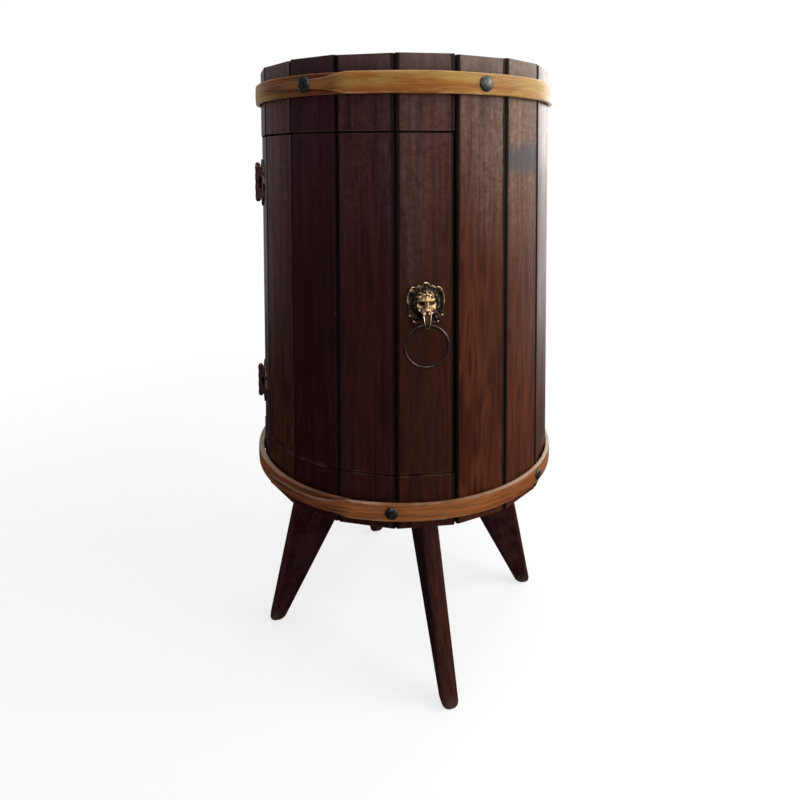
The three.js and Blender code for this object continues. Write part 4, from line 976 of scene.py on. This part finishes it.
HEAD_FINISH = inner_board_finish(
    "stained_head_board", plank_place, dark=(0.014, 0.0045, 0.0042), light=(0.060, 0.020, 0.014),
    grey=(0.055, 0.030, 0.022), pore=(0.008, 0.003, 0.003), smoothest=0.34)
PLANK_FINISH = inner_board_finish(
    "inner_planks", plank_place, dark=(0.060, 0.026, 0.014), light=(0.145, 0.074, 0.038),
    grey=(0.120, 0.078, 0.050), pore=(0.028, 0.012, 0.007))
CURVED_FINISH = inner_board_finish(
    "sawn_battens", curved_place, dark=(0.052, 0.022, 0.012), light=(0.125, 0.062, 0.032),
    grey=(0.105, 0.066, 0.042), pore=(0.024, 0.010, 0.006))
eased_node("top_board", HEAD_FINISH)
eased_node("floor_board", PLANK_FINISH)
eased_node("shelf", PLANK_FINISH, 0.0014)
for name in ("shelf_ledge", "header_rail", "sill_rail", "door_batten_upper", "door_batten_lower"):
    eased_node(name, CURVED_FINISH, 0.0012)


# Hinges: cast copper-bronze leaves with an ornamental outline and a raised border, face-fixed over
# the seam. The door's leaf has two knuckles, the frame's leaf one, and a pin with two round caps.
HINGE_INSET = 0.060
HINGE_HEIGHTS = {"upper": DOOR_TOP - HINGE_INSET, "lower": DOOR_BOTTOM + HINGE_INSET}
SEAT_GAP = 0.0003
KNUCKLE_LENGTH = 0.044
KNUCKLE_RADIUS = 0.0041
KNUCKLE_WAIST = KNUCKLE_RADIUS - 0.0004
KNUCKLE_SOFTENING = 0.0003
KNUCKLE_LIFT = 0.0054
KNUCKLE_GAP = 0.0002
PIN_RADIUS = 0.0018
CAP_RADIUS = 0.0038
CAP_EDGE = 0.0010
CAP_RISE = 0.0042
LEAF_THICKNESS = 0.0022
LEAF_LENGTH = 0.044
LEAF_HEIGHT = 0.066
LEAF_SEAM_GAP = 0.0012
LEAF_WRAP = 0.008
LEAF_BORDER = 0.0022
LEAF_HOLLOW = 0.0006
FACE_TURN = math.atan(math.tan(HALF_STAVE) * math.cos(CORNER_LEAN))
LEAF_SHARES = ((None, (0.12, 0.7)), ((0.14, 1), (0.27, 0.97)), ((0.42, 0.94), (0.43, 0.66)),
               ((0.5, 0.82), (0.62, 0.74)), ((0.76, 0.62), (0.74, 0.36)), ((0.84, 0.34), (1, 0)))
LEAF_SCREW_SHARES = ((0.27, 0.68), (0.27, -0.68), (0.78, 0))


def drawn_curve(start, stretches, steps):
    """Points along a run of straight and bent stretches, each with its bending point and its end."""
    points = [start]
    for by, to in stretches:
        origin = points[-1]
        for step in range(1, steps + 1):
            t = step / steps
            if by is None:
                points.append(tuple(origin[axis] + (to[axis] - origin[axis]) * t for axis in (0, 1)))
            else:
                points.append(tuple((1 - t) ** 2 * origin[axis] + 2 * t * (1 - t) * by[axis] + t * t * to[axis]
                                    for axis in (0, 1)))
    return points


def leaf_outline(side):
    upper = drawn_curve((0, KNUCKLE_LENGTH / LEAF_HEIGHT), LEAF_SHARES, 7)
    shares = [(0, 0)] + upper + [(x, -y) for x, y in reversed(upper[:-1])]
    span = LEAF_LENGTH - LEAF_SEAM_GAP
    return [(side * (LEAF_SEAM_GAP + x * span), y * LEAF_HEIGHT / 2) for x, y in shares]


def drawn_in(outline, centre, inset):
    """The outline, drawn in towards its centre."""
    points = []
    for x, y in outline:
        reach = math.hypot(x - centre[0], y - centre[1])
        share = 1 - min(0.9, inset / reach)
        points.append((centre[0] + (x - centre[0]) * share, centre[1] + (y - centre[1]) * share))
    return points


def leaf_rings(side):
    outline = leaf_outline(side)
    centre = (side * LEAF_LENGTH * 0.33, 0)
    steps = ((0, 0), (0, LEAF_THICKNESS - 0.0007), (0.00025, LEAF_THICKNESS - 0.0002),
             (0.0007, LEAF_THICKNESS), (LEAF_BORDER, LEAF_THICKNESS),
             (LEAF_BORDER + 0.0004, LEAF_THICKNESS - LEAF_HOLLOW))
    return [[Vector((x, y, z)) for x, y in drawn_in(outline, centre, inset)] for inset, z in steps]


def turned_rings(profile, segments):
    """Rings about the Y axis at the knuckles' height, from radius and height pairs."""
    turns = [FULL_TURN * step / segments for step in range(segments)]
    return [[Vector((radius * math.cos(turn), height, KNUCKLE_LIFT + radius * math.sin(turn)))
             for turn in turns] for radius, height in profile]


def knuckle_rings(middle, length):
    half, soft = length / 2, KNUCKLE_SOFTENING
    profile = [(KNUCKLE_RADIUS - soft, -half), (KNUCKLE_RADIUS, soft - half), (KNUCKLE_RADIUS, -half * 0.55),
               (KNUCKLE_WAIST, -half * 0.5), (KNUCKLE_WAIST, half * 0.5),
               (KNUCKLE_RADIUS, half * 0.55), (KNUCKLE_RADIUS, half - soft), (KNUCKLE_RADIUS - soft, half)]
    return turned_rings([(radius, middle + height) for radius, height in profile], 24)


def wrap_rings(side, length, middle):
    profile = ((0, KNUCKLE_LIFT - KNUCKLE_RADIUS + PIN_RADIUS), (side * LEAF_SEAM_GAP, SEAT_GAP),
               (side * LEAF_WRAP, SEAT_GAP - DOOR_RECESS), (side * KNUCKLE_RADIUS, KNUCKLE_LIFT),
               (side * PIN_RADIUS, KNUCKLE_LIFT + PIN_RADIUS))
    return [[Vector((x, middle + end * length / 2, z)) for x, z in profile] for end in (-1, 1)]


def leaf_tilt(side):
    recess = DOOR_RECESS if side > 0 else 0
    return Matrix.Rotation(side * FACE_TURN, 4, "Y") @ Matrix.Translation((0, 0, SEAT_GAP - recess))


def moved_rings(rings, place):
    return [[place @ point for point in ring] for ring in rings]


def joined(name, pieces):
    """One piece from several closed shells."""
    work = bmesh.new()
    for piece in pieces:
        work.from_mesh(piece.data)
        bpy.data.objects.remove(piece)
    mesh = bpy.data.meshes.new(name)
    work.to_mesh(mesh)
    work.free()
    return new_piece(name, mesh)


def hinge_leaf(name, side, place):
    third = KNUCKLE_LENGTH / 3
    shells = [skin("plate", moved_rings(leaf_rings(side), place @ leaf_tilt(side)), smooth_angle=0.8)]
    for middle in ((-third, third) if side > 0 else (0,)):
        length = third - KNUCKLE_GAP
        shells.append(skin("knuckle", moved_rings(knuckle_rings(middle, length), place)))
        shells.append(skin("wrap", moved_rings(wrap_rings(side, length, middle), place)))
    return joined(name, shells)


def hinge_pin(name, place):
    half = KNUCKLE_LENGTH / 2 + SEAT_GAP
    tip = [(PIN_RADIUS, half), (CAP_RADIUS, half), (CAP_RADIUS, half + CAP_EDGE)]
    for step in range(1, 9):
        angle = math.pi * step / 17
        tip.append((CAP_RADIUS * math.cos(angle), half + CAP_EDGE + CAP_RISE * math.sin(angle)))
    profile = [(radius, -height) for radius, height in reversed(tip)] + tip
    return skin(name, moved_rings(turned_rings(profile, 20), place))


# A round-headed screw with a sawn slot
def slotted_screw_tree():
    tree, given, put_out = named_group("slotted_screws", "GeometryNodeTree", {
        "Seats": "Geometry", "Head Radius": 0.0036, "Head Rise": 0.0018, "Slot Width": 0.0009, "Seed": 1,
        "Finish": "Material",
    }, {"Mesh": "Geometry"})
    size = vector_of(given["Head Radius"] * 2.4, given["Slot Width"], given["Head Rise"])
    saw = from_node(tree, "GeometryNodeMeshCube", {"Size": size})
    raised = from_node(tree, "GeometryNodeTransform", {"Geometry": saw,
                                                       "Translation": vector_of(z=given["Head Rise"])})
    slotted = from_node(tree, "GeometryNodeMeshBoolean", {"Mesh 1": dome(tree, given, 0.0004, 20, 10),
                                                          "Mesh 2": raised}, operation="DIFFERENCE")
    return put_out(Mesh=finished(given, placed_on_seats(given, slotted, spread=0.0)))


SCREW_TREE = slotted_screw_tree()
COPPER = old_metal("copper_bronze", (0.170, 0.082, 0.060), (0.020, 0.0115, 0.0095), 0.9, 0.30, 0.55, 0.009)
BRONZE_SCREW = old_metal("bronze_screws", (0.150, 0.085, 0.052), (0.022, 0.014, 0.010),
                         0.9, 0.30, 0.5, 0.004)
hinge_screws = {"cabinet": [], "door": []}
for name, height in HINGE_HEIGHTS.items():
    place = on_side(HINGE_SEAM, corner_radius(height), height, CORNER_LEAN)
    for part, side, body in (("frame", -1, "cabinet"), ("door", 1, "door")):
        leaf = hinge_leaf(f"{name}_hinge_{part}_plate", side, place)
        fitted(leaf, body, "copper_bronze", f"{name}_hinge_{part}_leaf", finish=COPPER)
        for along, up in LEAF_SCREW_SHARES:
            spot = (side * along * LEAF_LENGTH, up * LEAF_HEIGHT / 2, LEAF_THICKNESS - LEAF_HOLLOW)
            hinge_screws[body].append(seat_in(place @ leaf_tilt(side), spot))
    pin = hinge_pin(f"{name}_hinge_knob_pin", place)
    fitted(pin, "cabinet", "copper_bronze", f"{name}_hinge_pin", finish=COPPER)
for body, seats in hinge_screws.items():
    screws = grown(f"hinge_screws_{body}", SCREW_TREE, {"Seed": 3, "Finish": BRONZE_SCREW},
                   fastener_seats(f"hinge_seats_{body}", seats))
    fitted(screws, body, "copper_bronze")


# Screws inside: steel wood screws hold the door's battens to its staves, the rails and the ledge to
# the fixed staves, and the legs under the floor board.
BATTEN_THICKNESS = 0.012
BATTEN_SCREW_SPREAD = 0.011
RAIL_THICKNESS = 0.012
RAIL_SCREW_INSET = 0.016
SHELF_BOTTOM = 0.594538
LEDGE_SCREW_DROP = 0.0103
LEG_SCREW_INSET = 0.030
FLOOR_BOARD_TOP = BASE_HEIGHT + 0.030
GREY_STEEL = old_metal("grey_steel", (0.46, 0.46, 0.46), (0.13, 0.125, 0.115), 0.95, 0.28, 0.5, 0.004)


def batten_face(z):
    return face_distance(z) - DOOR_RECESS - DOOR_THICKNESS - SEAT_GAP - BATTEN_THICKNESS


def rail_face(z):
    return face_distance(z) - STAVE_THICKNESS - SEAT_GAP - RAIL_THICKNESS


def inner_seats(heights, indexes, backing):
    return [seat_in(on_side(stave_azimuth(index), backing(z), z, FACE_LEAN), way=-1)
            for z in heights for index in indexes]


batten_heights = [height + step * BATTEN_SCREW_SPREAD for height in HINGE_HEIGHTS.values() for step in (-1, 1)]
rail_heights = [HEADER_BOTTOM + RAIL_SCREW_INSET, SILL_TOP - RAIL_SCREW_INSET]
door_seats = inner_seats(batten_heights, range(DOOR_STAVES), batten_face)
fixed_seats = inner_seats(rail_heights, range(DOOR_STAVES), rail_face)
fixed_seats += inner_seats([SHELF_BOTTOM - LEDGE_SCREW_DROP], range(DOOR_STAVES + 1, STAVE_COUNT, 2), rail_face)
for body, seats in (("door", door_seats), ("cabinet", fixed_seats)):
    screws = grown(f"inner_screws_{body}", SCREW_TREE, {"Head Radius": 0.0032, "Seed": 8, "Finish": GREY_STEEL},
                   fastener_seats(f"inner_seats_{body}", seats))
    fitted(screws, body, "steel")
leg_seats = []
for degrees, seed in LEGS.values():
    azimuth, level = math.radians(degrees), BASE_HEIGHT + LEG_SOCKET
    for inset in (LEG_SCREW_INSET, LEG_TOP_WIDTH - LEG_SCREW_INSET):
        seat = outward(azimuth) * (leg_outer_edge(level) - inset) + sideways(azimuth) * leg_shift(level)
        leg_seats.append((seat + Vector((0, 0, FLOOR_BOARD_TOP + SEAT_GAP)), Vector((0, 0, 1))))
leg_screws = grown("leg_screws", SCREW_TREE, {"Head Radius": 0.0044, "Seed": 5, "Finish": GREY_STEEL},
                   fastener_seats("leg_screw_seats", leg_seats))
fitted(leg_screws, "cabinet", "steel", *[f"{name}_leg_screw_{number}" for name in LEGS for number in (1, 2)])


# Catch: a moulded brown plastic case with a magnet, screwed under the edge of the shelf, and the
# steel plate on the door that it holds.
def catch_plastic():
    material, tree = new_material("brown_catch_plastic")
    patches, grain = tarnished(tree, 0.006, 0.0005)
    colour = colour_mix(patches, (0.120, 0.060, 0.032), (0.092, 0.045, 0.024))
    finish_material(tree, colour, ramp(patches, 0.0, 1.0, 0.42, 0.58), grain, 0.00006)
    return material


eased_node("catch_case", catch_plastic(), 0.0008)
eased_node("catch_plate", GREY_STEEL, 0.0004)


# Lion pull: a cast brass mask with a crowned, scalloped back plate, a strap that comes out of the
# mouth and holds the ring, and four pins that fix the plate to the door.
PULL_HEIGHT = DOOR_BOTTOM + 0.225
PLATE_SIZE = (0.050, 0.058)
PLATE_SHARES = (((0.12, 1.02), (0.24, 0.82)), ((0.34, 0.94), (0.48, 0.78)), ((0.74, 0.9), (0.86, 0.62)),
                ((1, 0.3), (0.94, -0.06)), ((0.86, -0.2), (0.9, -0.3)), ((1.02, -0.38), (0.9, -0.5)),
                ((0.66, -0.46), (0.72, -0.66)), ((0.7, -0.86), (0.46, -0.78)), ((0.24, -0.74), (0.16, -0.92)),
                ((0.08, -1), (0, -1)))
PLATE_PINS = ((0.0200, -0.0125), (0.0150, -0.0205))
PLATE_PIN_SEAT = 0.0020
RING_RADIUS = 0.0272
RING_WIRE = 0.0018
RING_DROP = 0.023
RING_LIFT = 0.011
# Swellings and hollows of the mask in millimetres: centre, half widths and height, mirrored where
# the centre is off the middle line
MASK_FORMS = (
    (0, 10.5, 8.4, 5.4, 2.8), (6.2, 7.2, 4.2, 1.9, 2.8), (6.4, 3.0, 3.1, 2.3, -4.4), (6.4, 2.6, 1.3, 1.0, 1.8),
    (0, 2.0, 2.4, 6.8, 3.6), (0, -4.4, 3.3, 2.2, 4.6), (1.9, -6.3, 0.8, 0.6, -1.2), (4.2, -8.2, 3.9, 3.3, 5.0),
    (0, -8.6, 0.6, 2.4, -1.7), (0, -11.6, 5.4, 0.9, -2.8), (0, -14.1, 3.4, 2.2, 3.2),
    (9.6, -2.4, 2.8, 4.2, 2.2), (11.2, 12.4, 2.9, 2.9, 4.2), (11.4, 12.2, 1.4, 1.5, -2.8),
    (0, 18.2, 4.2, 4.4, 3.0), (18.2, 17.2, 2.9, 2.9, 3.4), (18.2, 17.2, 1.0, 1.0, -1.2),
    (20.6, 2.0, 1.8, 3.6, 1.2), (7.8, 21.0, 2.0, 2.0, 1.4), (12.5, -15.6, 2.6, 3.2, 1.8),
)
# The strap's middle line in millimetres, up the plate and out of it, and its half widths along it
STRAP_PATH = ((-8.0, 11.0), (-12.5, 14.2), (-17.5, 15.7), (-22.5, 16.0), (-26.2, 14.8), (-28.2, 11.8),
              (-27.4, 8.4), (-24.4, 6.2), (-20.0, 6.0), (-14.0, 5.6), (-9.0, 4.6))
STRAP_HALF_WIDTHS = (5.4, 5.0, 4.3, 3.4, 2.5, 2.2, 2.4, 3.0, 3.9, 4.6, 5.0)


def plate_outline():
    half = drawn_curve((0, 1), PLATE_SHARES, 9)
    shares = half + [(-x, y) for x, y in reversed(half[1:-1])]
    return [(x * PLATE_SIZE[0] / 2, y * PLATE_SIZE[1] / 2) for x, y in shares]


def mask_height(x, y, from_edge):
    """Height of the mask over the back of its plate, all in millimetres."""
    radius = math.hypot(x, y - 2.5)
    around = math.atan2(x, y - 2.5)
    height = 1.8 + 1.5 * math.exp(-((from_edge - 1.5) / 0.9) ** 2)
    field = held((from_edge - 2.2) / 1.5)
    height += 0.35 * field * math.cos(30 * around)
    mane = math.exp(-((radius - 14.4) / 3.2) ** 4)
    locks = math.cos(13 * around + 2.2 * math.sin(radius * 0.42)) * 0.5 + 0.5
    height += field * mane * (2.2 + 2.2 * locks)
    face = 1 - (x / 12.2) ** 2 - ((y - 1.5) / 15.2) ** 2
    height += 8.6 * math.sqrt(face) if face > 0 else 0
    for middle, level, wide, tall, rise in MASK_FORMS:
        for side in ((1, -1) if middle else (1,)):
            height += rise * math.exp(-((x - side * middle) / wide) ** 2 - ((y - level) / tall) ** 2)
    brow_lines = math.cos(1.5 * x) * math.exp(-(x / 6) ** 4 - ((y - 12) / 5.5) ** 4)
    return height + 0.45 * brow_lines


def mask_rub_and_highlight(x, y, from_edge):
    """How bright the mask is: worn bright on its face and on what stands proud, darker at the eyes, and bright
    along its rim, which is worn and has a painted highlight on its upper part.
    """
    middle = mask_height(x, y, from_edge)
    turns = [math.pi / 3 * step for step in range(6)]
    around = [mask_height(x + 2.2 * math.cos(turn), y + 2.2 * math.sin(turn), from_edge) for turn in turns]
    proud = held((middle - sum(around) / 6) / 1.5, low=-1)
    face = held(2.4 * (1 - (x / 13.0) ** 2 - ((y - 4.5) / 15.5) ** 2))
    # The rim is worn bright all round, and a painted highlight makes its upper part more than three times as
    # bright
    rim = math.exp(-((from_edge - 1.3) / 1.0) ** 2) * (1 if y > 4 else 0.3)
    eyes = math.exp(-((abs(x) - 6.3) / 2.9) ** 2 - ((y - 3.1) / 2.1) ** 2)
    return held(0.68 * face + rim + proud * (0.34 + 0.36 * face) - 0.5 * eyes)


def lion_mask(name, place):
    outline = plate_outline()
    rings = [[Vector((x, y, 0)) for x, y in outline]]
    rub = [0.0] * len(outline)
    steps = 52
    for step in range(steps):
        share = 1 - (step / steps) ** 0.9
        ring = []
        for x, y in outline:
            from_edge = (1 - share) * math.hypot(x, y) * 1000
            spot = (x * share * 1000, y * share * 1000, from_edge)
            ring.append(Vector((x * share, y * share, mask_height(*spot) / 1000)))
            rub.append(mask_rub_and_highlight(*spot))
        rings.append(ring)
    return skin(name, moved_rings(rings, place), {"rub_and_highlight": rub}, 0.9)


def strap_line(fine):
    """Points and half widths along the strap, on a smooth curve through its path."""
    last = len(STRAP_PATH) - 1
    points, widths = [], []
    for step in range(last * fine + 1):
        at, t = divmod(step, fine)
        t /= fine
        near = [STRAP_PATH[held(at + offset, high=last)] for offset in (-1, 0, 1, 2)]
        weights = ((-t + 2 * t * t - t ** 3) / 2, (2 - 5 * t * t + 3 * t ** 3) / 2,
                   (t + 4 * t * t - 3 * t ** 3) / 2, (t ** 3 - t * t) / 2)
        points.append(Vector([sum(w * p[axis] for w, p in zip(weights, near)) for axis in (0, 1)]))
        here, following = STRAP_HALF_WIDTHS[at], STRAP_HALF_WIDTHS[min(at + 1, last)]
        widths.append(here + (following - here) * t)
    return points, widths


def ring_strap(name, place):
    """A cast strap with raised edges that comes out of the mouth and turns under the ring."""
    points, widths = strap_line(5)
    rings, rub = [], []
    for step, (point, half) in enumerate(zip(points, widths)):
        ahead = (points[min(step + 1, len(points) - 1)] - points[max(step - 1, 0)]).normalized()
        out = Vector((ahead.y, -ahead.x))
        rim = half * 0.32
        right = [(half - rim, 0.3), (half - rim * 0.7, 0.9), (half - rim * 0.3, 1.3), (half, 0.9), (half, -0.8)]
        section = [(-across, thick) for across, thick in reversed(right)] + [(0, 0.55)] + right
        tip = math.exp(-((step - 21) / 3) ** 2)
        ring = []
        for across, thick in section:
            spot = point + out * thick
            ring.append(Vector((across, spot.x, spot.y)) / 1000)
            rub.append(held((thick - 0.5) / 0.6 + tip))
        rings.append(ring)
    return skin(name, moved_rings(rings, place), {"rub_and_highlight": rub}, 0.7)


def cast_ring(name, place):
    turns, sides = 96, 16
    points, faces = [], []
    for turn in range(turns):
        about = FULL_TURN * turn / turns
        uneven = noise.noise((4 * math.cos(about), 4 * math.sin(about), 0))
        wire = RING_WIRE * (1 + 0.05 * math.cos(about)) - 0.00004 * uneven
        near, far = turn * sides, (turn + 1) % turns * sides
        for side in range(sides):
            angle = FULL_TURN * side / sides
            reach = RING_RADIUS + wire * math.cos(angle)
            points.append(place @ Vector((reach * math.sin(about), reach * math.cos(about) - RING_RADIUS,
                                          wire * math.sin(angle))))
            following = (side + 1) % sides
            faces.append((near + side, far + side, far + following, near + following))
    mesh = bpy.data.meshes.new(name)
    mesh.from_pydata(points, [], faces)
    pointing_out(mesh)
    mesh.shade_smooth()
    return new_piece(name, mesh)


def domed_pin_tree():
    tree, given, put_out = named_group("domed_pins", "GeometryNodeTree", {
        "Seats": "Geometry", "Head Radius": 0.0019, "Head Rise": 0.0017, "Seed": 2, "Finish": "Material",
    }, {"Mesh": "Geometry"})
    real = placed_on_seats(given, dome(tree, given, 0.0003, 20, 12))
    return put_out(Mesh=finished(given, smoothed(real)))


def mask_finish():
    material, tree = new_material("aged_brass")
    patches, grain = tarnished(tree, 0.009, 0.0012)
    metal = colour_mix(patches, (0.80, 0.55, 0.40), (0.56, 0.37, 0.16))
    # Bright metal where the mask is worn, and the painted highlight on its upper rim
    bright = ramp(grain * 0.3 + attribute(tree, "rub_and_highlight"), 0.25, 1.05, soft=True)
    patina = colour_mix(patches, (0.060, 0.036, 0.022), (0.016, 0.0135, 0.0105))
    finish_material(tree, colour_mix(bright, patina, metal), ramp(bright, 0.0, 1.0, 0.5, 0.3), grain, 0.00008,
                    Metallic=0.95)
    return material


PULL = on_side(stave_azimuth(DOOR_STAVES - 1), face_distance(PULL_HEIGHT) - DOOR_RECESS + SEAT_GAP,
               PULL_HEIGHT, FACE_LEAN)
BRASS = mask_finish()
PIN_BRASS = old_metal("pin_brass", (0.55, 0.36, 0.24), (0.10, 0.06, 0.04), 0.95, 0.22, 0.45, 0.004)
RING_BRONZE = old_metal("ring_bronze", (0.085, 0.056, 0.050), (0.010, 0.0055, 0.0052),
                        0.9, 0.2, 0.45, 0.007)
fitted(lion_mask("lion_mask", PULL), "door", "aged_brass", "lion_plate", finish=BRASS)
fitted(ring_strap("ring_strap", PULL), "door", "aged_brass", "lion_plate", finish=BRASS)
pin_seats = [seat_in(PULL, (side * x, y, PLATE_PIN_SEAT)) for x, y in PLATE_PINS for side in (-1, 1)]
pins = grown("plate_pins", domed_pin_tree(), {"Seed": 2, "Finish": PIN_BRASS},
             fastener_seats("pin_seats", pin_seats))
fitted(pins, "door", "aged_brass", "lion_plate")
hanging = PULL @ Matrix.Translation((0, -RING_DROP, RING_LIFT)) @ Matrix.Rotation(FACE_LEAN, 4, "X")
fitted(cast_ring("pull_ring_wire", hanging), "ring", "copper_bronze", "pull_ring", finish=RING_BRONZE)
